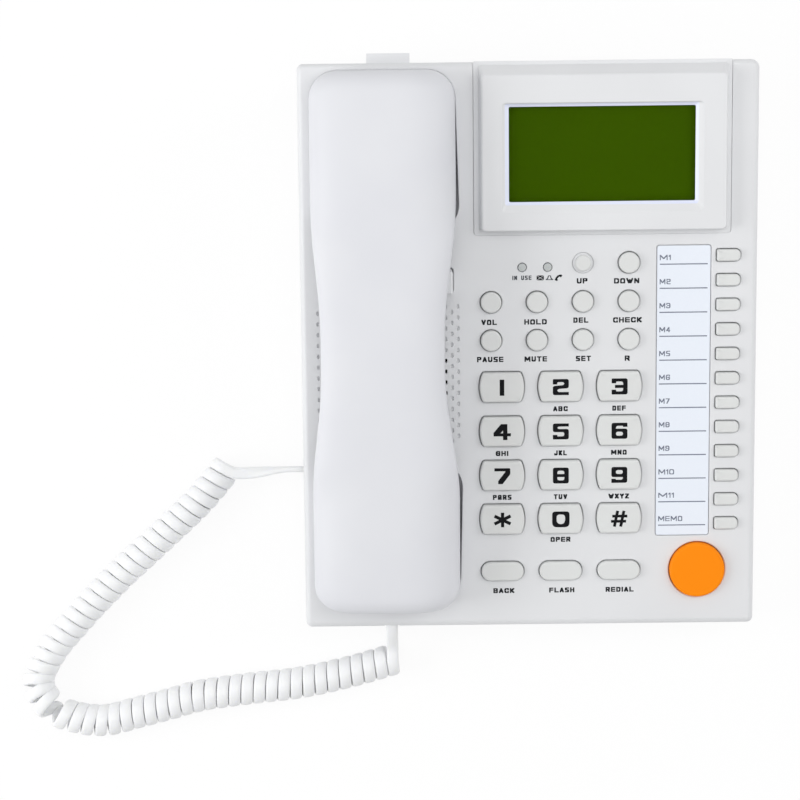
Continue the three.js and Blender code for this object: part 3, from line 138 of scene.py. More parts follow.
def moulded(name, colour, shade, roughness, grain, grain_depth, shine=0.5, subsurface=0.0):
    """Injection-moulded plastic: faint flow marks in the colour and the mould's grain as bump.

    grain and grain_depth are in millimetres."""
    material, tree = new_material(name)
    place = add_node(tree, "ShaderNodeTexCoord").outputs["Object"]
    flow = add_node(tree, "ShaderNodeTexNoise", {
        "Vector": place, "Scale": 1 / (38 * MM), "Detail": 3.0, "Roughness": 0.45,
    })
    blend = add_node(tree, "ShaderNodeValToRGB", {"Fac": flow.outputs["Fac"]})
    blend.color_ramp.elements[0].position = 0.32
    blend.color_ramp.elements[0].color = linear(shade)
    blend.color_ramp.elements[1].position = 0.7
    blend.color_ramp.elements[1].color = linear(colour)
    sparks = add_node(tree, "ShaderNodeTexNoise", {
        "Vector": place, "Scale": 1 / (grain * MM), "Detail": 2.0, "Roughness": 0.6,
    })
    gloss = add_node(tree, "ShaderNodeMapRange", {
        "Value": sparks.outputs["Fac"], "To Min": roughness - 0.05, "To Max": roughness + 0.06,
    })
    bump = add_node(tree, "ShaderNodeBump", {
        "Height": sparks.outputs["Fac"], "Strength": 0.5, "Distance": grain_depth * MM,
    })
    shader = add_node(tree, "ShaderNodeBsdfPrincipled", {
        "Base Color": blend.outputs["Color"], "Roughness": gloss.outputs["Result"],
        "Normal": bump.outputs["Normal"], "IOR": 1.5, "Specular IOR Level": shine,
        "Subsurface Weight": subsurface,
        "Subsurface Radius": (2 * MM, 2 * MM, 1.6 * MM), "Subsurface Scale": 1.0,
    })
    add_node(tree, "ShaderNodeOutputMaterial", {"Surface": shader.outputs["BSDF"]})
    return material


def printed_ink(name, colour, worn):
    """Pad-printed ink: flat and dense, a little thinner in places."""
    material, tree = new_material(name)
    place = add_node(tree, "ShaderNodeTexCoord").outputs["Object"]
    mottle = add_node(tree, "ShaderNodeTexNoise", {
        "Vector": place, "Scale": 1 / (1.6 * MM), "Detail": 3.0,
    })
    blend = add_node(tree, "ShaderNodeMix", {
        "Factor": mottle.outputs["Fac"], "A": linear(colour), "B": linear(worn),
    }, data_type="RGBA")
    shader = add_node(tree, "ShaderNodeBsdfPrincipled", {
        "Base Color": blend.outputs[2], "Roughness": 0.6, "Specular IOR Level": 0.1,
    })
    add_node(tree, "ShaderNodeOutputMaterial", {"Surface": shader.outputs["BSDF"]})
    return material


# ABS with a fine spark-eroded grain: a soft, even, slightly cool white with no mirror shine.
SHELL_ABS = moulded("textured_white_abs", "#e2e3e5", "#dedfe1", 0.42, 0.9, 0.012)
# Polished ABS: the same white, smoother, with broad soft highlights on its curves.
HANDSET_ABS = moulded("polished_white_abs", "#e0e1e5", "#dcdde2", 0.5, 1.4, 0.006, shine=0.3)
# Key caps in matt ABS: a touch warmer than the shell.
KEY_ABS = moulded("matt_white_key_abs", "#dddfde", "#dadbda", 0.46, 0.8, 0.01)
# Orange ABS, evenly saturated, with a soft sheen on its rim.
ORANGE_ABS = moulded("orange_key_abs", "#ff8e06", "#fe8c03", 0.5, 0.8, 0.012, shine=0.12)
# Flexible PVC jacket: satin white, light bleeding a little into its edges.
CORD_PVC = moulded("satin_white_pvc_jacket", "#f2f3f4", "#eeeff0", 0.4, 1.1, 0.02, subsurface=0.12)
# Unpolished ABS of the socket block and its flange.
JACK_ABS = moulded("plain_white_socket_abs", "#e8e9eb", "#e2e3e6", 0.5, 0.9, 0.012)
# Smoother rim round the window, lighter than the textured plastic next to it: the lighter colour is a painted
# highlight.
HIGHLIGHT_RIM_ABS = moulded("smooth_window_rim_painted_highlight", "#e6eafb", "#e2e7fa", 0.25, 1.2, 0.004)
# Silicone rubber: dull, slightly yellow.
SILICONE = moulded("milky_silicone_rubber", "#dcdcd4", "#d2d2c9", 0.6, 1.0, 0.02)
# Rubber of the foot pads: dull dark grey with a fine grit.
FOOT_RUBBER = moulded("dull_grey_rubber", "#4a4c4e", "#404244", 0.75, 0.7, 0.04)
# Black sheet over the loudspeaker: painted shade that leaves the open slots of the grille black.
SLOT_SHADE_BLACK = moulded("black_sheet_painted_slot_shade", "#0e0e10", "#09090a", 0.9, 0.6, 0.05)
BLACK_INK = printed_ink("black_key_ink", "#0c0d0f", "#17181b")
LABEL_INK = printed_ink("dark_panel_ink", "#1e2022", "#2b2d31")
GREY_INK = printed_ink("grey_panel_ink", "#3e4147", "#4c5056")
CARD_INK = printed_ink("grey_card_ink", "#6c7282", "#7a8090")


def card_paper():
    """Uncoated index card: pale blue, with a faint fibre mottle."""
    material, tree = new_material("pale_blue_index_card")
    place = add_node(tree, "ShaderNodeTexCoord").outputs["Object"]
    fibre = add_node(tree, "ShaderNodeTexNoise", {
        "Vector": place, "Scale": 1 / (0.8 * MM), "Detail": 6.0, "Roughness": 0.7,
    })
    blend = add_node(tree, "ShaderNodeMix", {
        "Factor": fibre.outputs["Fac"], "A": linear("#e6ecf6"), "B": linear("#ecf1f9"),
    }, data_type="RGBA")
    bump = add_node(tree, "ShaderNodeBump", {
        "Height": fibre.outputs["Fac"], "Strength": 0.4, "Distance": 0.01 * MM,
    })
    shader = add_node(tree, "ShaderNodeBsdfPrincipled", {
        "Base Color": blend.outputs[2], "Roughness": 0.8, "Normal": bump.outputs["Normal"],
        "Specular IOR Level": 0.25,
    })
    add_node(tree, "ShaderNodeOutputMaterial", {"Surface": shader.outputs["BSDF"]})
    return material


def lcd_glass():
    """Liquid crystal panel with its reflector: deep green, with rows of dots just visible."""
    material, tree = new_material("green_lcd_glass")
    place = add_node(tree, "ShaderNodeTexCoord").outputs["Object"]
    dots = add_node(tree, "ShaderNodeTexBrick", {
        "Vector": place, "Scale": 1 / (1.2 * MM), "Mortar Size": 0.05, "Mortar Smooth": 0.4,
        "Brick Width": 1.0, "Row Height": 1.0, "Color1": linear("#375300"),
        "Color2": linear("#375300"), "Mortar": linear("#395602"),
    }, offset=0.0)
    shader = add_node(tree, "ShaderNodeBsdfPrincipled", {
        "Base Color": dots.outputs["Color"], "Roughness": 0.55, "Specular IOR Level": 0.0,
    })
    add_node(tree, "ShaderNodeOutputMaterial", {"Surface": shader.outputs["BSDF"]})
    return material


def clear_window():
    """Clear acrylic window: nearly invisible from above, a faint sheen at a slant."""
    material, tree = new_material("clear_acrylic_window")
    sheen = add_node(tree, "ShaderNodeFresnel", {"IOR": 1.05})
    gloss = add_node(tree, "ShaderNodeBsdfGlossy", {"Roughness": 0.08, "Color": (1, 1, 1, 1)})
    clear = add_node(tree, "ShaderNodeBsdfTransparent", {"Color": (1, 1, 1, 1)})
    mix = add_node(tree, "ShaderNodeMixShader", {
        0: sheen.outputs["Fac"], 1: clear.outputs["BSDF"], 2: gloss.outputs["BSDF"],
    })
    add_node(tree, "ShaderNodeOutputMaterial", {"Surface": mix.outputs["Shader"]})
    return material


def metal(name, colour, roughness):
    """Plated steel: plain reflections, slightly streaked."""
    material, tree = new_material(name)
    place = add_node(tree, "ShaderNodeTexCoord").outputs["Object"]
    streak = add_node(tree, "ShaderNodeTexNoise", {"Vector": place, "Scale": 1 / (0.7 * MM)})
    rough = add_node(tree, "ShaderNodeMapRange", {
        "Value": streak.outputs["Fac"], "To Min": roughness - 0.06, "To Max": roughness + 0.08,
    })
    shader = add_node(tree, "ShaderNodeBsdfPrincipled", {
        "Base Color": linear(colour), "Metallic": 1.0, "Roughness": rough.outputs["Result"],
    })
    add_node(tree, "ShaderNodeOutputMaterial", {"Surface": shader.outputs["BSDF"]})
    return material


def plug_resin():
    """Clear polycarbonate of a modular plug: milky where it is thick."""
    material, tree = new_material("clear_plug_polycarbonate")
    place = add_node(tree, "ShaderNodeTexCoord").outputs["Object"]
    swirl = add_node(tree, "ShaderNodeTexNoise", {"Vector": place, "Scale": 1 / (3 * MM)})
    rough = add_node(tree, "ShaderNodeMapRange", {
        "Value": swirl.outputs["Fac"], "To Min": 0.12, "To Max": 0.28,
    })
    shader = add_node(tree, "ShaderNodeBsdfPrincipled", {
        "Base Color": linear("#eef0f2"), "Roughness": rough.outputs["Result"],
        "Transmission Weight": 0.45, "IOR": 1.58,
    })
    add_node(tree, "ShaderNodeOutputMaterial", {"Surface": shader.outputs["BSDF"]})
    return material


CARD_PAPER = card_paper()
LCD_GLASS = lcd_glass()
WINDOW_ACRYLIC = clear_window()
PLUG_RESIN = plug_resin()
# Zinc-plated screws and capsule cans: light grey metal with a dull shine.
ZINC = metal("zinc_plated_steel", "#b9bcc0", 0.38)
# Solder resist of the circuit board: glossy dark green.
BOARD_RESIST = moulded("green_solder_resist", "#1f5a34", "#194d2c", 0.3, 1.0, 0.01)
# Milky lamp body, brighter than the panel round it.
LAMP_EPOXY = moulded("milky_lamp_epoxy", "#bfc3c3", "#babebe", 0.22, 1.0, 0.004, subsurface=0.3)


# ---------------------------------------------------------------- mesh building
class Form:
    """Points and faces gathered for one mesh, in millimetres."""

    def __init__(self):
        self.points, self.faces, self.finishes = [], [], []

    def add(self, points, faces, finish=0):
        start = len(self.points)
        self.points += [tuple(point) for point in points]
        self.faces += [[start + index for index in face] for face in faces]
        self.finishes += [finish] * len(faces)
        return self

    def skin(self, rings, finish=0, ring_shaped=False, fan=False):
        """Skin over rings of equally many points; it closes on itself or ends in flat caps.

        With fan, the top is made of triangles round its middle."""
        count = len(rings[0])
        levels = len(rings) if ring_shaped else len(rings) - 1
        faces = []
        for level in range(levels):
            low, high = level * count, (level + 1) % len(rings) * count
            for i in range(count):
                j = (i + 1) % count
                faces.append((low + i, low + j, high + j, high + i))
        if not ring_shaped:
            faces.append(tuple(reversed(range(count))))
            top = range((len(rings) - 1) * count, len(rings) * count)
            if fan:
                faces += [(top[i], top[(i + 1) % count], len(rings) * count) for i in range(count)]
            else:
                faces.append(tuple(top))
        points = [point for ring in rings for point in ring]
        if fan:
            points.append(sum((Vector(point) for point in rings[-1]), Vector()) / count)
        return self.add(points, faces, finish)

    def mesh(self, place=None):
        mesh = bpy.data.meshes.new("form")
        mesh.from_pydata(self.points, [], self.faces)
        mesh.polygons.foreach_set("material_index", self.finishes)
        if place is not None:
            mesh.transform(place)
        mesh.update()
        return mesh


def rounded_box(left, right, front, rear, radii, steps=6):
    """Outline with rounded corners, anticlockwise from its right rear corner."""
    points = []
    corners = ((right, rear, 1, 1), (left, rear, -1, 1), (left, front, -1, -1), (right, front, 1, -1))
    radii = radii if isinstance(radii, tuple) else (radii,) * 4
    for index, ((x, y, side, end), radius) in enumerate(zip(corners, radii)):
        for step in range(steps + 1):
            angle = (index + step / steps) * math.pi / 2
            points.append((
                x - side * radius + radius * math.cos(angle),
                y - end * radius + radius * math.sin(angle),
            ))
    return points


def circle(radius, centre=(0, 0), steps=48):
    return [(
        centre[0] + radius * math.cos(2 * math.pi * i / steps),
        centre[1] + radius * math.sin(2 * math.pi * i / steps),
    ) for i in range(steps)]


def grown(outline, by):
    """The outline moved outward along its own normals."""
    moved = []
    for i, (x, y) in enumerate(outline):
        before, after = outline[i - 1], outline[(i + 1) % len(outline)]
        first = Vector((y - before[1], before[0] - x))
        second = Vector((after[1] - y, x - after[0]))
        normal = (first.normalized() + second.normalized())
        normal = normal / max(normal.length_squared / 2, 0.5)
        moved.append((x + normal.x * by, y + normal.y * by))
    return moved


def at_height(outline, height):
    """Ring at a height, or at heights given by a function of (x, y)."""
    if callable(height):
        return [(x, y, height(x, y)) for x, y in outline]
    return [(x, y, height) for x, y in outline]


def lipped_cutter(outline, depth, lip, floor_round=0.0):
    """Cutter for an opening in the panel whose upper edge is rounded by lip."""
    rings = []
    if floor_round:
        for step in range(5):
            angle = math.pi / 2 * step / 4
            inset = floor_round * (1 - math.sin(angle))
            rings.append(at_height(grown(outline, -inset), -depth + floor_round * (1 - math.cos(angle))))
    else:
        rings.append(at_height(outline, -depth))
    for step in range(6):
        angle = math.pi / 2 * step / 5
        rings.append(at_height(grown(outline, lip * (1 - math.cos(angle))), -lip * (1 - math.sin(angle))))
    rings.append(at_height(grown(outline, lip + 0.02), 12))
    return rings


def work(mesh):
    thing = bpy.data.objects.new("work", mesh)
    SCENE.collection.objects.link(thing)
    return thing


def carved(mesh, tool, operation="DIFFERENCE", solver="MANIFOLD"):
    """The mesh with another cut from it, joined to it or shared with it."""
    first, second = work(mesh), work(tool)
    carve = first.modifiers.new("carve", "BOOLEAN")
    carve.object = second
    carve.operation = operation
    carve.solver = solver
    graph = bpy.context.evaluated_depsgraph_get()
    result = bpy.data.meshes.new_from_object(first.evaluated_get(graph), depsgraph=graph)
    for thing in (first, second):
        bpy.data.objects.remove(thing)
    return result


def add_piece(name, mesh, body, finishes, replaces=(), sharp=38, even=True):
    """A finished piece that rides on a body and stands for the CAD nodes it replaces."""
    mesh.name = name
    chosen = [face.material_index for face in mesh.polygons]
    mesh.materials.clear()
    for finish in finishes:
        mesh.materials.append(finish)
    mesh.polygons.foreach_set("material_index", chosen)
    mesh.shade_smooth()
    mesh.set_sharp_from_angle(angle=math.radians(sharp))
    thing = bpy.data.objects.new(name, mesh)
    SCENE.collection.objects.link(thing)
    if even:
        shading = thing.modifiers.new("even shading", "WEIGHTED_NORMAL")
        shading.keep_sharp = True
    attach(thing, body)
    if replaces:
        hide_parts(*replaces)
    return thing


def dress(node, finish, edge=0.0):
    """Finish, and optionally rounded edges, on a CAD node whose shape is kept."""
    thing = NODES[node]
    thing.data.materials.clear()
    thing.data.materials.append(finish)
    if edge:
        bevel = thing.modifiers.new("rounded edges", "BEVEL")
        bevel.width = edge * MM
        bevel.segments = 3
        bevel.limit_method = "ANGLE"
        bevel.angle_limit = math.radians(32)
        bevel.harden_normals = True
    return thing


# ---------------------------------------------------------------- cord
# The coil's axis on the table, from the handset's end to the base's end, in metres.
COIL_ROUTE = [
    (-0.05260, -0.12945), (-0.07280, -0.13505), (-0.09330, -0.13925), (-0.11380, -0.14145),
    (-0.13420, -0.14415), (-0.14680, -0.14745), (-0.15880, -0.15045), (-0.17280, -0.15365),
    (-0.18380, -0.15265), (-0.19430, -0.14845), (-0.20010, -0.13805), (-0.19530, -0.12625),
    (-0.18290, -0.11145), (-0.16630, -0.09445), (-0.14980, -0.07945), (-0.13330, -0.06405),
    (-0.12270, -0.05165),
]
COIL_START = 0.0027          # where the first turn begins, along the axis
COIL_REVERSES = (-0.1933, -0.1491)   # the winding changes hand here, in the bend
COIL_AXIS_HEIGHT = 0.0068
COIL_RADIUS = 0.0053         # to the middle of the cord
COIL_PITCH = 0.00505
CORD_WIDTH = 0.0048
CORD_THICKNESS = 0.0024
TURN_STEPS = 26
SECTION_STEPS = 14


def spline(points, spacing):
    """Even points along a smooth curve through the given ones."""
    ends = [points[0] * 2 - points[1], *points, points[-1] * 2 - points[-2]]
    fine = []
    for p0, p1, p2, p3 in zip(ends, ends[1:], ends[2:], ends[3:]):
        knots = [0.0]
        for a, b in ((p0, p1), (p1, p2), (p2, p3)):
            knots.append(knots[-1] + math.sqrt((b - a).length))
        t0, t1, t2, t3 = knots
        for i in range(40):
            t = t1 + (t2 - t1) * i / 40
            a1 = p0.lerp(p1, (t - t0) / (t1 - t0))
            a2 = p1.lerp(p2, (t - t1) / (t2 - t1))
            a3 = p2.lerp(p3, (t - t2) / (t3 - t2))
            b1 = a1.lerp(a2, (t - t0) / (t2 - t0))
            b2 = a2.lerp(a3, (t - t1) / (t3 - t1))
            fine.append(b1.lerp(b2, (t - t1) / (t2 - t1)))
    fine.append(points[-1])
    return even_steps(fine, spacing)


def even_steps(points, spacing):
    lengths = [0.0]
    for a, b in zip(points, points[1:]):
        lengths.append(lengths[-1] + (b - a).length)
    count = max(2, round(lengths[-1] / spacing))
    result, i = [], 0
    for step in range(count + 1):
        target = lengths[-1] * step / count
        while i < len(points) - 2 and lengths[i + 1] < target:
            i += 1
        span = lengths[i + 1] - lengths[i]
        result.append(points[i].lerp(points[i + 1], min(max((target - lengths[i]) / span, 0), 1)))
    return result


def coil_line():
    """Middle line of the coiled part, with the direction of the cord's flat side at each point."""
    step = COIL_PITCH / TURN_STEPS
    axis = spline([Vector((x, y, COIL_AXIS_HEIGHT)) for x, y in COIL_ROUTE], step)
    turning = min(range(len(axis)), key=lambda i: (axis[i].xy - Vector(COIL_REVERSES)).length)
    first = round(COIL_START / step)
    hand = [math.tanh((turning - i) * step / 0.004) for i in range(len(axis))]
    ahead = sum(hand[first:turning])
    back = -sum(hand[turning:])
    whole_turns = round((back - ahead) / TURN_STEPS)
    slower = (ahead + whole_turns * TURN_STEPS) / back
    line, flat_side, angle = [], [], 0.0
    for i in range(first, len(axis)):
        along = (axis[min(i + 1, len(axis) - 1)] - axis[max(i - 1, 0)]).normalized()
        left = Vector((0, 0, 1)).cross(along)
        out = Vector((0, 0, math.cos(angle))) + left * math.sin(angle)
        line.append(axis[i] + out * COIL_RADIUS)
        flat_side.append(out)
        angle += 2 * math.pi / TURN_STEPS * hand[i] * (1 if i < turning else slower)
    return line, flat_side


def cord_line():
    """The whole cord from the handset's plug to the base's plug."""
    coil, flat_side = coil_line()
    up = Vector((0, 0, 1))
    plug = (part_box("handset_plug")[0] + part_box("handset_plug")[1]) / 2
    plug_rear = Vector((plug.x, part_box("handset_plug")[0].y + 0.0008, plug.z - 0.0006))
    start = coil[0]
    lead = spline([
        plug_rear, plug_rear + Vector((0, -0.0058, -0.0009)), plug_rear + Vector((0, -0.0125, -0.0032)),
        start + Vector((0, 0.0052, 0.0008)), start,
    ], 0.0006)[:-1]
    base_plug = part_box("base_plug")
    wall = Vector((base_plug[0].x + 0.0008, (base_plug[0].y + base_plug[1].y) / 2,
                   (base_plug[0].z + base_plug[1].z) / 2))
    end = coil[-1]
    tail = spline([
        end, end + Vector((0.0046, -0.0022, -0.0003)), end + Vector((0.0102, -0.0024, -0.0002)),
        wall + Vector((-0.009, 0, -0.0004)), wall,
    ], 0.0006)[1:]
    line = lead + coil + tail
    sides = [up] * len(lead) + flat_side
    for i in range(len(tail)):
        share = min(max((i / (len(tail) - 1) - 0.15) / 0.65, 0), 1)
        twist = math.pi / 2 * share * share * (3 - 2 * share)
        sides.append(Vector((0, math.sin(twist), math.cos(twist))))
    return line, sides


def make_cord():
    line, sides = cord_line()
    form = Form()
    rings = []
    for i, point in enumerate(line):
        along = (line[min(i + 1, len(line) - 1)] - line[max(i - 1, 0)]).normalized()
        thick = (sides[i] - along * sides[i].dot(along)).normalized()
        wide = along.cross(thick)
        ring = []
        for step in range(SECTION_STEPS):
            angle = 2 * math.pi * (step + 0.5) / SECTION_STEPS
            x, y = math.cos(angle), math.sin(angle)
            across = CORD_WIDTH / 2 * math.copysign(abs(x) ** 0.62, x)
            through = CORD_THICKNESS / 2 * math.copysign(abs(y) ** 0.8, y)
            ring.append(point + wide * across + thick * through)
        rings.append(ring)
    form.skin(rings)
    mesh = form.mesh()
    mesh.name = "curly_cord"
    mesh.materials.append(CORD_PVC)
    mesh.shade_smooth()
    thing = bpy.data.objects.new("curly_cord", mesh)
    SCENE.collection.objects.link(thing)
    across = Vector((0.6, -0.8, 0))
    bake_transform(thing)
    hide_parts("cord_coil", "cord_lead_handset", "cord_lead_base")
    return thing


make_cord()

# ---------------------------------------------------------------- top shell of the base
WALL = 2.2
BASE_CORNER = 4.0
BASE_CORNERS = (3.4, 2.45, 2.45, 2.45)
EDGE_ROUND = 2.4
CUP_CORNER = 11.0
CUP_DEPTH = 8.3
CUP_LIP = 0.35
KEY_GAP = 0.28
KEY_LIP = 0.5
WELL_GAP = 0.4
WELL_LIP = 0.15
HEAD_CLOSE = 0.28             # the head's outside is this much wider than its solid
HEAD_DEPTH = 13.6
HEAD_SPLIT = -6.0
HINGE_RADIUS = 3.0
TURN_RADIUS, TURN_GAP = 4.3, 0.12   # round front of the head, and its play in the well
HEAD_CORNER = (0.5, 0.5, 1.4, 1.4)
GRILLE_MIDDLE = (-59.05, -11.15)
GRILLE_PITCH = (2.396, 4.3)
GRILLE_COLUMNS = (-10, 13)
GRILLE_ROWS = 6
GRILLE_OPEN = 25.7            # slots within this radius go through, the others are blind
HANDSET_U = -56.8
EAR_HALF, WAIST_HALF, MOUTH_HALF = 28.2, 24.6, 28.9
CUP_MARGINS = (0.15, 1.4)     # to the handset: everywhere, and on the right towards the waist
EAR_CUP = (46.05, 109.2)
MOUTH_CUP = (-103.05, -44.85)
HOOK_GAP = (1.2, 0.4)
HOOK_FLANGE = 1.4
CARD_FLOOR = 1.2
CORD_U = HANDSET_U + 1.5
LAMP_HOLE = 1.8
LAMPS = [(-2.6, 31.95), (7.4, 31.95)]

BASE_LOW, BASE_HIGH = (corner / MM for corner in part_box("base_top_shell"))
HEAD_LEFT, HEAD_RIGHT = -21.1, 78.8
HEAD_FRONT, HEAD_REAR = HINGE_V - HINGE_RADIUS, 112.15


def barrel(width, height, flat_half, corner, at=(0, 0), steps=7):
    """Key outline with straight top and bottom, bowed sides and rounded corners."""
    bow = width / 2 - flat_half - corner * 0.35
    radius = (bow * bow + height * height / 4) / (2 * bow)
    half_angle = math.asin(height / 2 / radius)
    right = []
    for step in range(-steps, steps + 1):
        angle = half_angle * step / steps
        right.append((width / 2 - radius + radius * math.cos(angle), radius * math.sin(angle)))
    points = right + [(-x, y) for x, y in reversed(right)]
    return soften([(x + at[0], y + at[1]) for x, y in points], corner)


def soften(outline, radius, steps=5):
    """Rounds the sharp corners of an outline."""
    result = []
    count = len(outline)
    for i in range(count):
        before, here, after = (Vector(outline[(i + k) % count]) for k in (-1, 0, 1))
        first, second = (before - here), (after - here)
        turn = math.pi - first.angle(second)
        if turn < 0.5:
            result.append(tuple(here))
            continue
        reach = min(radius * math.tan(turn / 2), first.length * 0.98, second.length * 0.98)
        a, b = here + first.normalized() * reach, here + second.normalized() * reach
        for step in range(steps + 1):
            t = step / steps
            result.append(tuple(a * (1 - t) ** 2 + here * 2 * t * (1 - t) + b * t ** 2))
    return result


DIGIT_NODES = [f"key_digit_{i}" for i in range(1, 10)] + ["key_star", "key_digit_0", "key_hash"]
FUNCTION_NODES = ["key_back", "key_flash", "key_redial"]
ROUND_NODES = [
    "key_up", "key_down", "key_volume", "key_hold", "key_delete", "key_check",
    "key_pause", "key_mute", "key_set", "key_recall",
]
MEMORY_NODES = [f"key_memory_{i:02d}" for i in range(1, 13)]
KEY_NODES = [*DIGIT_NODES, *FUNCTION_NODES, *ROUND_NODES, *MEMORY_NODES, "key_handsfree"]
KEY_FLANGE = 1.1
CAP_BOTTOM = -1.9             # above the mat even when the key is pressed
UP_RING = 0.85                # shallow ring round the smallest key


def key_place(node):
    """Middle (u, v), width, height and top of a key's cap."""
    low, high = panel_box(node)
    middle = ((low.x + high.x) / 2, (low.y + high.y) / 2)
    return middle, high.x - low.x - 2 * KEY_FLANGE, high.y - low.y - 2 * KEY_FLANGE, high.z


def key_outline(node):
    (u, v), width, height, _ = key_place(node)
    if node in DIGIT_NODES:
        return barrel(width, height, 6.8, 1.9, (u, v))
    if node in MEMORY_NODES:
        box = (u - width / 2, u + width / 2, v - height / 2, v + height / 2)
        square, curved = (rounded_box(*box, radius) for radius in (0.7, 1.9))
        return [a if a[0] < u else b for a, b in zip(square, curved)]
    if node in FUNCTION_NODES:
        box = (u - width / 2, u + width / 2, v - height / 2, v + height / 2)
        return rounded_box(*box, height / 2 - 0.05, 9)
    return circle(width / 2, (u, v), 64 if node == "key_handsfree" else 40)


def slot_outline(u, v, half_width=0.48, half_length=0.85):
    straight = half_length - half_width
    points = []
    for end, start in ((1, 0), (-1, math.pi)):
        for step in range(5):
            angle = start + math.pi * step / 4
            points.append((
                u + half_width * math.cos(angle), v + end * straight + half_width * math.sin(angle),
            ))
    return points


def cup_outline(ends, half, far, reach):
    """Outline of a cup; its right side leaves the handset slowly on the way from its far end."""
    margin, widest = CUP_MARGINS
    box = rounded_box(HANDSET_U - half - margin, HANDSET_U + half + margin, *ends, CUP_CORNER, 12)
    outline = []
    for u, v in box:
        share = min(abs(v - far) / reach, 1) ** 2 if u > HANDSET_U else 0
        outline.append((u + (widest - margin) * share, v))
    return outline


CUPS = (
    cup_outline(EAR_CUP, EAR_HALF, EAR_CUP[1], 50), cup_outline(MOUTH_CUP, MOUTH_HALF, MOUTH_CUP[0], 22),
)


def well_outline(grow=0.0, rear=140.0):
    by = WELL_GAP + grow
    return rounded_box(HEAD_LEFT - by, HEAD_RIGHT + by, HEAD_FRONT - by, rear, 1.0, 4)


def front_of_turn(w, radius):
    """Where a round front of the head lies at a height; it turns about the hinge."""
    return HINGE_V - math.sqrt(radius ** 2 - (w - HINGE_W) ** 2)


def well_cutter():
    """The head's well: its front wall is hollow, so that the head's round front fits under the panel."""
    left, right, rear = HEAD_LEFT - WELL_GAP, HEAD_RIGHT + WELL_GAP, 140.0
    radius = TURN_RADIUS + TURN_GAP
    low = 2 * HINGE_W
    front = HEAD_FRONT - WELL_GAP
    rings = [at_height(rounded_box(left, right, front, rear, 1.0, 6), -HEAD_DEPTH - WELL_GAP)]
    for step in range(11):
        w = low * (1 - step / 10)
        rings.append(at_height(
            rounded_box(left, right, front_of_turn(w, radius), rear, HEAD_CORNER, 6), w,
        ))
    last = [(x, y) for x, y, _ in rings.pop()]
    for step in range(4):
        angle = math.pi / 2 * step / 3
        rings.append(at_height(
            grown(last, WELL_LIP * (1 - math.cos(angle))), -WELL_LIP * (1 - math.sin(angle)),
        ))
    rings.append(at_height(grown(last, WELL_LIP + 0.02), 12))
    return rings


def outer_form():
    """Outside of the top shell: upright walls under a sloping top with rounded edges."""
    box = (BASE_LOW.x, BASE_HIGH.x, BASE_LOW.y, BASE_HIGH.y)
    plan = rounded_box(*box, BASE_CORNERS, 8)
    rings = [at_height(plan, BASE_LOW.z)]
    for step in range(7):
        angle = math.pi / 2 * step / 6
        drop = EDGE_ROUND * (1 - math.sin(angle)) / math.cos(TILT)
        ring = grown(plan, -EDGE_ROUND * (1 - math.cos(angle)))
        rings.append(at_height(ring, lambda x, y, drop=drop: panel_height(y) - drop))
    return Form().skin(rings).mesh(TABLE_TO_PANEL)


def inner_room():
    box = (BASE_LOW.x + WALL, BASE_HIGH.x - WALL, BASE_LOW.y + WALL, BASE_HIGH.y - WALL)
    plan = rounded_box(*box, BASE_CORNER - WALL, 3)
    roof = at_height(plan, lambda x, y: panel_height(y) - WALL / math.cos(TILT))
    return Form().skin([at_height(plan, 0), roof]).mesh(TABLE_TO_PANEL)


def hook_outline():
    low, high = panel_box("hook_switch_plunger")
    along, across = (gap - HOOK_FLANGE for gap in HOOK_GAP)
    return rounded_box(low.x - along, high.x + along, low.y - across, high.y + across, 1.4)


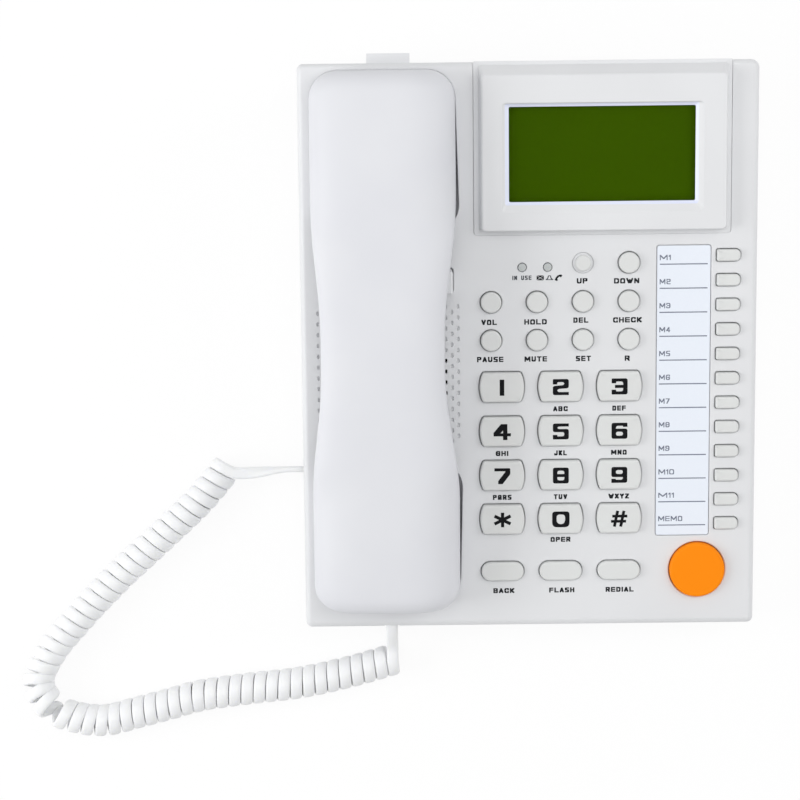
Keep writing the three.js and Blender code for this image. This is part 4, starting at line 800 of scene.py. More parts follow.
def make_top_shell():
    mesh = carved(outer_form(), inner_room())
    pod = WALL - 0.3
    for outline, depth in (
        (grown(CUPS[0], pod), CUP_DEPTH + WALL), (grown(CUPS[1], pod), CUP_DEPTH + WALL),
        (well_outline(pod, HEAD_REAR - 3.4), HEAD_DEPTH + WELL_GAP + WALL),
    ):
        walls = Form().skin([at_height(outline, -depth), at_height(outline, -WALL / 2)]).mesh()
        mesh = carved(mesh, walls, "UNION")
    cups = Form()
    for outline in CUPS:
        cups.skin(lipped_cutter(outline, CUP_DEPTH, CUP_LIP, 2.5))
    cups.skin(well_cutter())
    card_low, card_high = panel_box("memory_card")
    card = rounded_box(
        card_low.x - 0.3, card_high.x + 0.3, card_low.y - 0.3, card_high.y + 0.3, 1.1, 5,
    )
    cups.skin(lipped_cutter(card, CARD_FLOOR, 0.35))
    for node in KEY_NODES:
        outline = key_outline(node)
        if node == "key_up":
            cups.skin(lipped_cutter(grown(outline, UP_RING), 1.2, 0.3, 0.2))
        cups.skin(lipped_cutter(grown(outline, KEY_GAP), 3 * WALL, KEY_LIP))
    cups.skin(lipped_cutter(hook_outline(), 3 * WALL, 0.5))
    for lamp in LAMPS:
        cups.skin(lipped_cutter(circle(LAMP_HOLE, lamp, 32), 3 * WALL, 0.25))
    mesh = carved(mesh, cups.mesh())
    grille = Form()
    first, last = GRILLE_COLUMNS
    for column in range(first, last + 1):
        stagger = GRILLE_PITCH[1] / 2 if column % 2 else 0
        for row in range(-GRILLE_ROWS, GRILLE_ROWS + 1):
            u = GRILLE_MIDDLE[0] + column * GRILLE_PITCH[0]
            v = GRILLE_MIDDLE[1] + row * GRILLE_PITCH[1] + stagger
            reach = math.hypot(u - HANDSET_U, v - GRILLE_MIDDLE[1])
            depth = 3 * WALL if reach < GRILLE_OPEN else 0.9
            outline = slot_outline(u, v)
            grille.skin([
                at_height(outline, -depth), at_height(outline, -0.12),
                at_height(grown(outline, 0.12), 0), at_height(grown(outline, 0.13), 3),
            ])
    mesh = carved(mesh, grille.mesh())
    tunnel = rounded_box(CORD_U - 3.2, CORD_U + 3.2, -4.6, -1.1, 0.8, 4)
    mesh = carved(mesh, Form().skin([
        [(u, v, w) for u, w in tunnel] for v in (MOUTH_CUP[0] + 2, BASE_LOW.y - 9)
    ]).mesh())
    openings = Form()
    jack_low, jack_high = (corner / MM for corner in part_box("line_jack"))
    half = 8.7 + 0.3
    middle = (jack_low.x + jack_high.x) / 2
    box = rounded_box(middle - half, middle + half, BASE_HIGH.y - WALL - 1, BASE_HIGH.y + 9, 0.3, 2)
    openings.skin([at_height(box, 0), at_height(box, jack_high.z + 0.3)])
    plug_low, plug_high = (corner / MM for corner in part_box("base_plug"))
    box = rounded_box(
        BASE_LOW.x - 2, BASE_LOW.x + WALL + 1, plug_low.y - 0.3, plug_high.y + 0.3, 0.2, 2,
    )
    openings.skin([at_height(box, plug_low.z - 0.3), at_height(box, plug_high.z + 0.3)])
    mesh = carved(mesh, openings.mesh(TABLE_TO_PANEL))
    mesh.transform(PANEL)
    return add_piece("base_top", mesh, "base", [SHELL_ABS], ["base_top_shell"], 40)


make_top_shell()

# ---------------------------------------------------------------- display head
PLATEAU_HEIGHT = 5.0
PLATEAU = (-18.6, 76.7, 46.6, 107.15)
PLATEAU_EDGE = (1.0, 0.45, 0.45, 1.0)    # rounding: left, right, front, rear
WINDOW = (-7.8, 64.6, 57.75, 94.55)
WINDOW_BEVEL = (2.7, 3.0, 3.8, 1.5)      # left, right, front, rear
WINDOW_BEVEL_DEPTH = 1.8
# The strip next to the window is lighter in colour: a painted highlight.
WINDOW_RIM = (1.6, 1.2, 1.2, 1.2)         # bright strip next to the window
LEDGE = (2.0, 1.8, 1.7, 1.6)      # flat margin round the plateau: left, right, front, rear
LENS_ROOM = 4.2


def head_edges(w):
    """Left, right, front and rear of the head's outside at a height below the panel."""
    rear = HEAD_REAR + w * math.tan(TILT)
    return HEAD_LEFT - HEAD_CLOSE, HEAD_RIGHT + HEAD_CLOSE, front_of_turn(w, TURN_RADIUS), rear


def spread(box, by):
    """A box (left, right, front, rear) with each edge moved outward by its own amount."""
    left, right, front, rear = by if isinstance(by, tuple) else (by, by, by, by)
    return box[0] - left, box[1] + right, box[2] - front, box[3] + rear


def make_bezel():
    rings = []
    for step in range(13):
        w = HEAD_SPLIT * (1 - step / 12) - 0.15 * step / 12
        rings.append(at_height(rounded_box(*head_edges(w), HEAD_CORNER, 8), w))
    rim = head_edges(0)
    rings.append(at_height(rounded_box(*spread(rim, -0.04), HEAD_CORNER, 8), -0.04))
    rings.append(at_height(rounded_box(*spread(rim, -0.15), HEAD_CORNER, 8), 0))
    foot = spread(rim, tuple(-margin for margin in LEDGE))
    rings.append(at_height(rounded_box(*spread(foot, 0.25), 1.0, 8), 0.03))
    rings.append(at_height(rounded_box(*foot, 1.0, 8), 0.25))
    for step in range(6):
        angle = math.pi / 2 * step / 5
        inward = tuple(-edge * (1 - math.cos(angle)) + 0.2 * (1 - step / 5) for edge in PLATEAU_EDGE)
        rings.append(at_height(
            rounded_box(*spread(PLATEAU, inward), 1.6, 8),
            PLATEAU_HEIGHT - PLATEAU_EDGE[0] * (1 - math.sin(angle)),
        ))
    bevel_top = spread(WINDOW, WINDOW_BEVEL)
    rings.append(at_height(rounded_box(*spread(bevel_top, 0.3), 1.6, 8), PLATEAU_HEIGHT))
    rings.append(at_height(rounded_box(*spread(bevel_top, 0.1), 1.5, 8), PLATEAU_HEIGHT - 0.06))
    rings.append(at_height(rounded_box(*spread(bevel_top, -0.15), 1.4, 8), PLATEAU_HEIGHT - 0.22))
    window_top = PLATEAU_HEIGHT - WINDOW_BEVEL_DEPTH
    rings.append(at_height(rounded_box(*spread(WINDOW, WINDOW_RIM), 0.9, 8), window_top + 0.7))
    rings.append(at_height(rounded_box(*WINDOW, 0.6, 8), window_top))
    rings.append(at_height(rounded_box(*WINDOW, 0.6, 8), window_top - 0.4))
    room = spread(WINDOW, LENS_ROOM)
    rings.append(at_height(rounded_box(*room, 1.0, 8), window_top - 0.4))
    rings.append(at_height(rounded_box(*room, 1.0, 8), HEAD_SPLIT))
    form = Form().skin(rings, ring_shaped=True)
    # The strip next to the window gets the lighter finish, a painted highlight.
    rim_faces = range(len(rings) - 5, len(rings) - 4)
    for level in rim_faces:
        for i in range(len(rings[0])):
            form.finishes[level * len(rings[0]) + i] = 1
    for side, start in ((-1, HEAD_LEFT), (1, HEAD_RIGHT)):
        pin = [
            [(start + side * reach, HINGE_V + y, HINGE_W + z) for y, z in circle(1.6, steps=24)]
            for reach in ((-1.0, 2.0) if side > 0 else (2.0, -1.0))
        ]
        form.skin(pin)
    return add_piece(
        "display_bezel_front", form.mesh(PANEL), "display_head",
        [SHELL_ABS, HIGHLIGHT_RIM_ABS], ["display_bezel"], 50,
    )


def make_window():
    low, high = panel_box("display_lens")
    outline = rounded_box(low.x, high.x, low.y, high.y, 1.0, 5)
    rings = [at_height(outline, low.z), at_height(outline, high.z - 0.15),
             at_height(grown(outline, -0.15), high.z)]
    add_piece(
        "display_window", Form().skin(rings).mesh(PANEL), "display_head",
        [WINDOW_ACRYLIC], ["display_lens"],
    )
    low, high = panel_box("lcd_panel")
    outline = rounded_box(low.x, high.x, low.y, high.y, 0.6, 4)
    rings = [at_height(outline, low.z), at_height(outline, high.z)]
    add_piece(
        "lcd_glass", Form().skin(rings).mesh(PANEL), "display_head", [LCD_GLASS], ["lcd_panel"],
    )


make_bezel()
make_window()
dress("display_rear_cover", SHELL_ABS, 0.4)

# ---------------------------------------------------------------- lettering
DIGIT_NIB = (1.75, 1.23)
DIGIT_X, DIGIT_Y = 2.275, 2.585


def bent(points, radius=0.9, steps=4):
    """A line with its inner corners rounded."""
    line = [points[0]]
    for before, here, after in zip(points, points[1:], points[2:]):
        a, b, c = Vector(before), Vector(here), Vector(after)
        reach = min(radius, (a - b).length / 2, (c - b).length / 2)
        start, end = b + (a - b).normalized() * reach, b + (c - b).normalized() * reach
        for step in range(steps + 1):
            t = step / steps
            line.append(tuple(start * (1 - t) ** 2 + b * 2 * t * (1 - t) + end * t ** 2))
    return line + [points[-1]]


def nib_stroke(line, nib=DIGIT_NIB):
    """Polygons that a flat nib sweeps along a line."""
    polygons = []
    for start, end in zip(line, line[1:]):
        corners = [
            Vector((x + side * nib[0] / 2, y + rise * nib[1] / 2))
            for x, y in (start, end) for side in (-1, 1) for rise in (-1, 1)
        ]
        polygon = [corners[i] for i in convex_hull_2d(corners)]
        polygons.append(polygon if signed_area(polygon) > 0 else polygon[::-1])
    return polygons


def bar(start, end, width):
    """A straight bar with square ends."""
    a, b = Vector(start), Vector(end)
    side = (b - a).normalized().orthogonal() * width / 2
    polygon = [a - side, b - side, b + side, a + side]
    return [polygon if signed_area(polygon) > 0 else polygon[::-1]]


def signed_area(points):
    return sum(a[0] * b[1] - a[1] * b[0] for a, b in zip(points, points[1:] + points[:1])) / 2


def united(polygons):
    """Triangles that cover the joined polygons once.

    They are joined at several places in the plane and the smallest result is kept: where an outline
    fails to close through rounding, the join floods the whole figure."""
    results = []
    for shift in (Vector((0, 0)), Vector((3.37, 5.21)), Vector((1.713, 2.291)), Vector((-4.19, 2.83))):
        points, faces = [], []
        for polygon in polygons:
            faces.append(list(range(len(points), len(points) + len(polygon))))
            points += [Vector(point) + shift for point in polygon]
        found, _, triangles, _, _, sources = delaunay_2d_cdt(points, [], faces, 0, 1e-4)
        kept = [triangle for triangle, source in zip(triangles, sources) if source]
        found = [tuple(point - shift) for point in found]
        cover = sum(abs(signed_area([found[i] for i in triangle])) for triangle in kept)
        results.append((cover, found, kept))
    _, found, kept = min(results, key=lambda result: result[0])
    return found, kept


def closed(points, radius):
    """A rounded closed line."""
    middle = tuple((Vector(points[0]) + Vector(points[-1])) / 2)
    return bent([middle, *points, middle], radius)


def digit_shapes():
    x, y = DIGIT_X, DIGIT_Y
    shapes = {
        "1": nib_stroke([(0, -y), (0, y)], (1.8, 1.23)),
        "2": nib_stroke(bent([(-x, y - 0.9), (-x, y), (x, y), (x, 0.15), (-x, -0.15), (-x, -y), (x, -y)])),
        "3": nib_stroke(bent([(-x, y - 0.7), (-x, y), (x, y), (x, -y), (-x, -y), (-x, -y + 0.7)]))
        + nib_stroke([(-x + 1.3, 0), (x, 0)]),
        "4": nib_stroke([(0.5, y), (-x - 0.2, -0.9)], (1.9, 1.23))
        + nib_stroke([(-x - 0.2, -1.1), (x + 0.3, -1.1)]) + nib_stroke([(1.2, y), (1.2, -y)]),
        "5": nib_stroke(bent([(x, y), (-x, y), (-x, 0.35), (x, 0.35), (x, -y), (-x, -y), (-x, -y + 0.6)])),
        "6": nib_stroke(bent([(x, y - 0.4), (x, y), (-x, y), (-x, 0)]))
        + nib_stroke(closed([(-x, 0.25), (-x, -y), (x, -y), (x, 0.25)], 0.9)),
        "7": nib_stroke(bent([(-x, y), (x, y), (x, y - 1.2), (-0.8, -y)], 0.5)),
        "8": nib_stroke(closed([(-x, y), (-x, -y), (x, -y), (x, y)], 0.9)) + nib_stroke([(-x, 0), (x, 0)]),
        "9": nib_stroke(bent([(-x, -y + 0.4), (-x, -y), (x, -y), (x, 0)]))
        + nib_stroke(closed([(x, -0.25), (x, y), (-x, y), (-x, -0.25)], 0.9)),
        "0": nib_stroke(closed([(-x - 0.3, y), (-x - 0.3, -y), (x + 0.3, -y), (x + 0.3, y)], 1.9)),
        "*": bar((0, -2.95), (0, 2.95), 1.3) + bar((-3.2, -1.6), (3.2, 1.6), 1.3)
        + bar((-3.2, 1.6), (3.2, -1.6), 1.3),
        "#": bar((-1.9, -3.2), (-0.6, 3.2), 1.15) + bar((0.6, -3.2), (1.9, 3.2), 1.15)
        + nib_stroke([(-2.5, 1.05), (3.0, 1.05)], (0.5, 1.1))
        + nib_stroke([(-3.0, -1.05), (2.5, -1.05)], (0.5, 1.1)),
    }
    return {name: united(polygons) for name, polygons in shapes.items()}


DIGIT_SHAPES = digit_shapes()
DIGIT_LEGENDS = dict(zip(DIGIT_NODES, "123456789*0#"))


# Strokes of the squarish capitals on a grid four units high: each pair of figures is a point.
ALPHABET = {
    "A": "00 24 40/11 31", "B": "00 04/04 44 42 02/42 40 00", "C": "43 44 04 00 40 41",
    "D": "00 04/04 44 40 00", "E": "44 04 00 40/02 42", "F": "44 04 00/02 42",
    "G": "43 44 04 00 40 42 22", "H": "00 04/40 44/02 42", "I": "00 04", "J": "44 40 00 01",
    "K": "00 04/44 12 40/02 12", "L": "04 00 40", "M": "00 04 31 64 60", "N": "00 04 40 44",
    "O": "20 00 04 44 40 20", "P": "00 04/04 44 42 02", "Q": "20 00 04 44 40 20/22 40",
    "R": "00 04/04 44 42 02/22 40", "S": "44 04 02 42 40 00", "T": "04 44/24 20",
    "U": "04 00 40 44", "V": "04 20 44", "W": "04 20 33 40 64", "X": "00 44/04 40",
    "Y": "04 22 44/22 20", "Z": "04 44 00 40", "0": "20 00 04 44 40 20", "1": "03 14 10",
    "2": "03 04 44 42 02 00 40", "3": "03 04 44 40 00 01/12 42", "4": "30 34 01 41",
    "5": "44 04 02 42 40 00", "6": "43 44 04 00 40 42 02", "7": "04 44 10",
    "8": "02 04 44 40 00 02 42", "9": "01 00 40 44 04 02 42",
}


def word(text, cap_height, width, nib=(0.58, 0.48), left=False):
    """Faces of a word in capitals, fitted to a height and a width, round its middle or its left end."""
    strokes = [
        [[(int(point[0]), int(point[1])) for point in line.split()] for line in ALPHABET[letter].split("/")]
        if letter != " " else [] for letter in text
    ]
    cells = [max((x for line in lines for x, _ in line), default=3) for lines in strokes]
    space = 0.2 * cap_height
    unit = (width - len(text) * nib[0] - (len(text) - 1) * space) / sum(cells)
    rise = (cap_height - nib[1]) / 4
    x = nib[0] / 2 - (0 if left else width / 2)
    y = nib[1] / 2 - cap_height / 2
    polygons = []
    for letter, lines, cell in zip(text, strokes, cells):
        rounding = (0.3 if letter in "BCDGJOPQRSU0235689" else 0.03) * cap_height
        for line in lines:
            points = [(x + across * unit, y + up * rise) for across, up in line]
            polygons += nib_stroke(bent(points, rounding, 3), nib)
        x += cell * unit + nib[0] + space
    return united(polygons)


def print_on(form, shape, height, finish=0, at=(0, 0)):
    """Adds flat printing, facing up, to a form."""
    points, faces = shape
    raised = [(x + at[0], y + at[1], height) for x, y in points]
    upward = []
    for face in faces:
        area = signed_area([raised[i] for i in face])
        upward.append(list(face) if area > 0 else list(reversed(face)))
    form.add(raised, upward, finish)


# Words under the keys: the key, its word, the word's middle from the key's, and its width.
ROUND_WORDS = [
    ("key_up", "UP", -0.3, -7.05, 4.2), ("key_down", "DOWN", -0.9, -7.2, 9.9),
    ("key_volume", "VOL", -0.75, -7.9, 6.1), ("key_hold", "HOLD", -0.55, -7.9, 8.9),
    ("key_delete", "DEL", -0.8, -7.4, 5.9), ("key_check", "CHECK", -0.55, -7.5, 11.3),
    ("key_pause", "PAUSE", -0.4, -7.5, 10.4), ("key_mute", "MUTE", -0.5, -7.5, 8.9),
    ("key_set", "SET", 0.2, -7.5, 5.9), ("key_recall", "R", -0.55, -7.6, 1.95),
]
DIGIT_WORDS = [
    ("key_digit_2", "ABC", 5.75), ("key_digit_3", "DEF", 5.3), ("key_digit_4", "GHI", 5.0),
    ("key_digit_5", "JKL", 5.0), ("key_digit_6", "MNO", 6.2), ("key_digit_7", "PQRS", 7.4),
    ("key_digit_8", "TUV", 5.3), ("key_digit_9", "WXYZ", 8.2), ("key_digit_0", "OPER", 7.9),
]
FUNCTION_WORDS = [("key_back", "BACK", 8.4), ("key_flash", "FLASH", 10.1), ("key_redial", "REDIAL", 11.2)]


def make_lettering():
    dark, grey = Form(), Form()
    for node, text, across, along, width in ROUND_WORDS:
        (u, v), *_ = key_place(node)
        print_on(dark, word(text, 2.1, width), 0.04, at=(u + across, v + along))
    for node, text, width in DIGIT_WORDS:
        (u, v), *_ = key_place(node)
        drop = -8.6 if text == "OPER" else -9.0
        print_on(dark, word(text, 2.0, width), 0.04, at=(u, v + drop))
    for node, text, width in FUNCTION_WORDS:
        (u, v), *_ = key_place(node)
        print_on(dark, word(text, 2.0, width), 0.04, at=(u + 0.5, v - 8.1))
    (u1, v1), (u2, v2) = LAMPS
    print_on(grey, word("IN USE", 1.7, 7.5, (0.4, 0.34)), 0.04, at=(u1 - 0.1, v1 - 4.1))
    row = v2 - 4.2
    envelope = []
    left, right, low, high = u2 - 4.4, u2 - 1.4, row - 1.0, row + 1.0
    middle = Vector(((left + right) / 2, (low + high) / 2))
    corners = [Vector(p) for p in ((left, low), (right, low), (right, high), (left, high))]
    for a, b in zip(corners, corners[1:] + corners[:1]):
        inner = (a + b + middle) / 3
        envelope.append([inner.lerp(p, 0.86) for p in (a, b, middle)])
    print_on(dark, united(envelope), 0.04)
    bell = nib_stroke(
        [(u2 - 0.6, row - 0.75), (u2 + 0.0, row - 0.3), (u2 + 0.35, row + 0.8), (u2 + 1.05, row + 0.8),
         (u2 + 1.4, row - 0.3), (u2 + 2.0, row - 0.75), (u2 - 0.6, row - 0.75)], (0.32, 0.28),
    )
    print_on(grey, united(bell), 0.04)
    phone = nib_stroke(
        bent([(u2 + 3.2, row - 0.8), (u2 + 3.5, row - 0.1), (u2 + 4.3, row + 0.75), (u2 + 5.1, row + 0.95)], 0.6),
        (0.6, 0.5),
    ) + bar((u2 + 2.9, row - 0.55), (u2 + 3.9, row - 1.05), 0.75) + bar(
        (u2 + 4.9, row + 0.3), (u2 + 5.5, row + 1.1), 0.75,
    )
    print_on(dark, united(phone), 0.04)
    add_piece("panel_words", dark.mesh(PANEL), "base", [LABEL_INK], even=False)
    add_piece("panel_small_words", grey.mesh(PANEL), "base", [GREY_INK], even=False)


make_lettering()


# ---------------------------------------------------------------- keys
def cap_rings(outline, low, high, edge):
    """Rings of a cap whose top edge is rounded."""
    rings = [at_height(outline, low)]
    for step in range(7):
        angle = math.pi / 2 * step / 6
        rings.append(at_height(
            grown(outline, -edge * (1 - math.cos(angle))), high - edge * (1 - math.sin(angle)),
        ))
    rings.append(at_height(grown(outline, -edge - 0.12), high))
    return rings


def make_keys():
    bodies = frame["record"]["behaviour"]["bodies"]
    body_of = {node: body for body, nodes in bodies.items() for node in nodes}
    for node in KEY_NODES:
        (u, v), width, height, top = key_place(node)
        outline = key_outline(node)
        edge = 0.8 if node in DIGIT_NODES else 0.7
        finish, slot = KEY_ABS, "key_plastic"
        if node == "key_handsfree":
            finish, slot, edge = ORANGE_ABS, "orange_key", 1.1
        form = Form().skin(cap_rings(outline, CAP_BOTTOM, top, edge), fan=True)
        if node in DIGIT_LEGENDS:
            print_on(form, DIGIT_SHAPES[DIGIT_LEGENDS[node]], top + 0.03, 1, (u, v))
        add_piece(f"{node}_cap", form.mesh(PANEL), body_of[node], [finish, BLACK_INK], [node], 45)


make_keys()


# ---------------------------------------------------------------- index card and lamps
def make_card():
    low, high = panel_box("memory_card")
    outline = rounded_box(low.x, high.x, low.y, high.y, 0.8, 5)
    form = Form().skin([at_height(outline, low.z), at_height(outline, high.z)])
    first, pitch = 32.55, 9.5
    for i in range(12):
        v = first - i * pitch
        rule = bar((low.x + 1.0, v), (high.x - 1.1, v), 0.42)
        print_on(form, united(rule), high.z + 0.02, 1)
        text = "MEMO" if i == 11 else f"M{i + 1}"
        width = 9.6 if i == 11 else 4.3 if i < 9 else 6.2
        print_on(form, word(text, 2.1, width, (0.38, 0.32), left=True), high.z + 0.02, 1, (low.x + 1.0, v + 2.65))
    add_piece(
        "memory_index_card", form.mesh(PANEL), "base", [CARD_PAPER, CARD_INK],
        ["memory_card"], even=False,
    )


def make_lamps():
    form = Form()
    for lamp in LAMPS:
        form.skin(cap_rings(circle(1.6, lamp, 32), -4.0, 0.5, 0.3))
    add_piece("indicator_lamps", form.mesh(PANEL), "base", [LAMP_EPOXY])


def make_slot_shade_sheet():
    """Black sheet between the loudspeaker and the grille: painted shade in the open slots."""
    low, high = panel_box("loudspeaker")
    place = ((low.x + high.x) / 2, (low.y + high.y) / 2)
    disc = circle((high.x - low.x) / 2 + 4, place, 64)
    form = Form().skin([at_height(disc, high.z + 0.05), at_height(disc, high.z + 0.35)])
    add_piece("loudspeaker_slot_shade_sheet", form.mesh(PANEL), "base", [SLOT_SHADE_BLACK])


make_card()
make_lamps()
make_slot_shade_sheet()

# ---------------------------------------------------------------- handset
HANDSET_REAR, HANDSET_FRONT = EAR_CUP[1] + 0.15, MOUTH_CUP[0] - 0.2
WAIST = (-5.5, 7.5)
EAR_FLARE, MOUTH_FLARE = 55, 54
HANDSET_CORNER = 11.0
BACK_END_ROUND, FACE_END_ROUND = 7.0, 12.0
HANDSET_SINK = 8.0
HANDSET_END_TOP, HANDSET_CROWN = 21.0, 29.0
GRIP_CLEARANCE, GRIP_ARCH = 12.0, 0.22
SHOULDER, SHOULDER_INSET = 18.0, 14.5
BACK_POWER, FACE_POWER = 3.0, 5.0
SECTION_HALF = 28
WAIST_TUCK = 1.3              # the grip is this much fuller on its left than on its right


def smooth_step(t):
    t = min(max(t, 0), 1)
    return t * t * (3 - 2 * t)


def handset_half_width(v):
    ear = smooth_step((v - WAIST[1]) / EAR_FLARE)
    mouth = smooth_step((WAIST[0] - v) / MOUTH_FLARE)
    return WAIST_HALF + (EAR_HALF - WAIST_HALF) * ear + (MOUTH_HALF - WAIST_HALF) * mouth


def waist_share(v):
    """0 at the middle of the grip, 1 over the ear and over the mouth."""
    return max(smooth_step((v - WAIST[1]) / EAR_FLARE), smooth_step((WAIST[0] - v) / MOUTH_FLARE))


def handset_top(v):
    t = (v - (HANDSET_REAR + HANDSET_FRONT) / 2) / ((HANDSET_REAR - HANDSET_FRONT) / 2)
    return HANDSET_END_TOP + (HANDSET_CROWN - HANDSET_END_TOP) * (1 - t * t)


def handset_underside(v):
    arch = GRIP_CLEARANCE * (1 - GRIP_ARCH * (v / EAR_CUP[0]) ** 2)
    ear = smooth_step((EAR_CUP[0] + SHOULDER_INSET - v) / SHOULDER)
    mouth = smooth_step((v - MOUTH_CUP[1] + SHOULDER_INSET) / SHOULDER)
    return -HANDSET_SINK + (arch + HANDSET_SINK) * min(ear, mouth)


def end_round(distance, radius):
    d = min(max(distance, 0), radius)
    return radius - math.sqrt(radius ** 2 - (radius - d) ** 2)


def handset_stations(step=2.2):
    ends = [HANDSET_CORNER * (1 - math.cos(math.pi / 2 * i / 10)) for i in range(10)]
    front, rear = HANDSET_FRONT + HANDSET_CORNER, HANDSET_REAR - HANDSET_CORNER
    count = round((rear - front) / step)
    middle = [front + (rear - front) * i / count for i in range(count + 1)]
    return (
        [HANDSET_FRONT + d for d in ends] + middle + [HANDSET_REAR - d for d in reversed(ends)]
    )


def half_section(v, side):
    """Ring of one handset shell at a station: the outside arc, closed along the parting line."""
    distance = min(HANDSET_REAR - v, v - HANDSET_FRONT)
    top, bottom = handset_top(v), handset_underside(v)
    half = handset_half_width(v) - end_round(distance, HANDSET_CORNER)
    end_radius = BACK_END_ROUND if side > 0 else FACE_END_ROUND
    height = (top - bottom) / 2 - end_round(distance, end_radius)
    middle = (top + bottom) / 2
    power = BACK_POWER if side > 0 else FACE_POWER
    groove, gap = 0.35, 0.15
    right = half - WAIST_TUCK * (1 - waist_share(v))
    ring = [(HANDSET_U + right - groove, v, middle + side * gap)]
    for i in range(SECTION_HALF + 1):
        angle = math.pi * i / SECTION_HALF
        x, z = math.cos(angle), math.sin(angle)
        across = math.copysign(abs(x) ** (2 / power), x) * (half if x < 0 else right)
        rise = z ** (2 / power) * height if z > 1e-9 else 0
        rise = max(rise, 2 * gap)
        ring.append((HANDSET_U + across, v, middle + side * rise))
    ring.append((HANDSET_U - half + groove, v, middle + side * gap))
    return ring


def make_handset():
    stations = handset_stations()
    for name, side, node in (("handset_back", 1, "handset_back_shell"), ("handset_face", -1, "handset_face_shell")):
        rings = [half_section(v, side) for v in (stations if side < 0 else reversed(stations))]
        mesh = Form().skin(rings).mesh()
        if side < 0:
            mesh = carved(mesh, face_openings())
        mesh.transform(PANEL)
        add_piece(name, mesh, "handset", [HANDSET_ABS], [node], 40)


def face_openings():
    """Sound holes over the receiver and the microphone, and the plug's socket."""
    form = Form()
    receiver, microphone = HANDSET_REAR - 28.8, HANDSET_FRONT + 23.8
    places = [(6 * math.cos(a * math.pi / 3), receiver + 6 * math.sin(a * math.pi / 3)) for a in range(6)]
    places += [(0, receiver), (-3, microphone), (0, microphone), (3, microphone)]
    for across, v in places:
        hole = circle(1.1, (HANDSET_U + across, v), 16)
        form.skin([at_height(hole, -HANDSET_SINK - 3), at_height(hole, -HANDSET_SINK + 3.5)])
    low, high = panel_box("handset_plug")
    box = rounded_box(low.x - 0.3, high.x + 0.3, HANDSET_FRONT - 3, high.y + 0.3, 0.2, 2)
    form.skin([at_height(box, low.z - 0.3), at_height(box, high.z + 0.3)])
    return form.mesh()


make_handset()


# ---------------------------------------------------------------- hook switch
def make_plunger():
    low, high = panel_box("hook_switch_plunger")
    outline = grown(hook_outline(), -0.4)
    rings = cap_rings(outline, low.z + 1.4, high.z, 0.9)
    flange = grown(outline, 0.6)
    rings = [at_height(flange, low.z), at_height(flange, low.z + 1.4)] + rings
    add_piece(
        "hook_plunger", Form().skin(rings).mesh(PANEL), "hook_switch", [SHELL_ABS],
        ["hook_switch_plunger"], 45,
    )


make_plunger()

# ---------------------------------------------------------------- kept nodes
dress("base_bottom_shell", SHELL_ABS, 0.3)
dress("line_jack", JACK_ABS, 0.6)
dress("base_cord_jack", JACK_ABS, 0.2)
dress("keypad_mat", SILICONE)
dress("main_board", BOARD_RESIST)
dress("loudspeaker", ZINC)
dress("handset_receiver", ZINC)
dress("handset_microphone", ZINC)
dress("handset_plug", PLUG_RESIN, 0.25)
dress("base_plug", PLUG_RESIN, 0.25)


# ---------------------------------------------------------------- feet and screws
PAD_INSET = (19, 21)
SCREW_INSETS = [(-39, -26.6), (8, -6.6), (-39, 26.6), (44, 24.6)]    # the sign says from which wall
SCREW_SEAT = 8.0              # bottom of the bores, over the table


def make_underside():
    low, high = (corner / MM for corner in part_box("base_bottom_shell"))
    middle, half = (low + high) / 2, (high - low) / 2
    pads, screws = Form(), Form()
    for side, end in ((1, 1), (-1, 1), (-1, -1), (1, -1)):
        place = (middle.x + side * (half.x - PAD_INSET[0]), middle.y + end * (half.y - PAD_INSET[1]))
        pads.skin([
            at_height(circle(radius, place, 40), height)
            for radius, height in ((6.2, 0.0), (6.75, 0.35), (6.75, 1.5), (6.5, 1.62))
        ])
    walls = (BASE_HIGH - BASE_LOW) / 2
    centre = (BASE_HIGH + BASE_LOW) / 2
    for across, along in SCREW_INSETS:
        place = (
            centre.x + math.copysign(walls.x, across) - across,
            centre.y + math.copysign(walls.y, along) - along,
        )
        # pan head with a cross recess, its shank in the pillar's bore
        head = Form().skin([
            at_height(circle(radius, place, 32), SCREW_SEAT - height)
            for radius, height in ((1.6, 1.8), (2.3, 1.55), (2.7, 1.0), (2.8, 0.0), (1.2, -0.1), (1.2, -8.0))
        ]).mesh()
        arms = [(1.4, 0.3), (0.3, 0.3), (0.3, 1.4)]
        cross = [
            (place[0] + x * c - y * q, place[1] + x * q + y * c)
            for c, q in ((1, 0), (0, 1), (-1, 0), (0, -1)) for x, y in arms
        ]
        tool = Form().skin([at_height(cross, SCREW_SEAT - 3), at_height(cross, SCREW_SEAT - 0.8)]).mesh()
        cut = carved(head, tool)
        screws.add([vertex.co for vertex in cut.vertices], [list(face.vertices) for face in cut.polygons])
    add_piece("foot_pads", pads.mesh(TABLE), "base", [FOOT_RUBBER])
    add_piece("base_screws", screws.mesh(TABLE), "base", [ZINC], sharp=30)


make_underside()


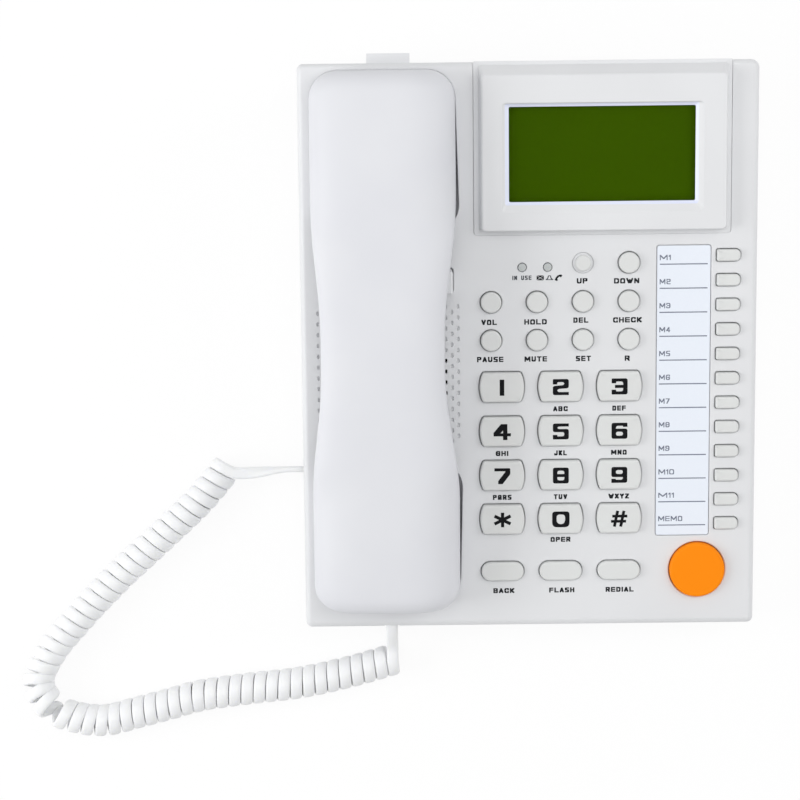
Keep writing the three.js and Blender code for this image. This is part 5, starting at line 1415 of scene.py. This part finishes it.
# ---------------------------------------------------------------- light and floor
def make_floor():
    material, tree = new_material("white_table")
    place = add_node(tree, "ShaderNodeTexCoord").outputs["Object"]
    tooth = add_node(tree, "ShaderNodeTexNoise", {"Vector": place, "Scale": 1 / (4 * MM)})
    bump = add_node(tree, "ShaderNodeBump", {
        "Height": tooth.outputs["Fac"], "Strength": 0.1, "Distance": 0.02 * MM,
    })
    matt = add_node(tree, "ShaderNodeBsdfDiffuse", {
        "Color": (0.95, 0.95, 0.95, 1), "Normal": bump.outputs["Normal"],
    })
    glow = add_node(tree, "ShaderNodeEmission", {"Color": (1, 1, 1, 1), "Strength": 1.0})
    rays = add_node(tree, "ShaderNodeLightPath")
    seen = add_node(tree, "ShaderNodeMath", {
        0: rays.outputs["Is Camera Ray"], 1: rays.outputs["Is Glossy Ray"],
    }, operation="MAXIMUM")
    seen = add_node(tree, "ShaderNodeMath", {
        0: seen.outputs["Value"], 1: rays.outputs["Is Transmission Ray"],
    }, operation="MAXIMUM")
    share = add_node(tree, "ShaderNodeMath", {0: seen.outputs["Value"], 1: 0.9}, operation="MULTIPLY")
    mix = add_node(tree, "ShaderNodeMixShader", {
        0: share.outputs["Value"], 1: matt.outputs["BSDF"], 2: glow.outputs["Emission"],
    })
    add_node(tree, "ShaderNodeOutputMaterial", {"Surface": mix.outputs["Shader"]})
    mesh = bpy.data.meshes.new("table_top")
    half = 4.0
    mesh.from_pydata(
        [(-half, -half, 0), (half, -half, 0), (half, half, 0), (-half, half, 0)], [], [(0, 1, 2, 3)],
    )
    mesh.materials.append(material)
    floor = bpy.data.objects.new("table_top", mesh)
    SCENE.collection.objects.link(floor)


def softbox(name, place, aim, size, energy):
    lamp = bpy.data.lights.new(name, "AREA")
    lamp.shape = "SQUARE"
    lamp.size = size
    lamp.energy = energy
    thing = bpy.data.objects.new(name, lamp)
    thing.location = place
    thing.rotation_euler = (Vector(aim) - Vector(place)).to_track_quat("-Z", "Y").to_euler()
    SCENE.collection.objects.link(thing)


def make_light():
    world = bpy.data.worlds.new("studio")
    world.use_nodes = True
    world.node_tree.nodes["Background"].inputs["Color"].default_value = (1, 1, 1, 1)
    world.node_tree.nodes["Background"].inputs["Strength"].default_value = 0.5
    SCENE.world = world
    softbox("overhead", (0.1, 0.15, 1.9), (0, 0, 0), 1.5, 9.5)
    softbox("right", (0.85, 0.25, 0.8), (0, 0, 0), 0.7, 3.2)
    softbox("left", (-1.0, -0.1, 0.55), (0, 0, 0), 0.6, 5.5)


make_floor()
make_light()
SCENE.view_settings.view_transform = "Standard"
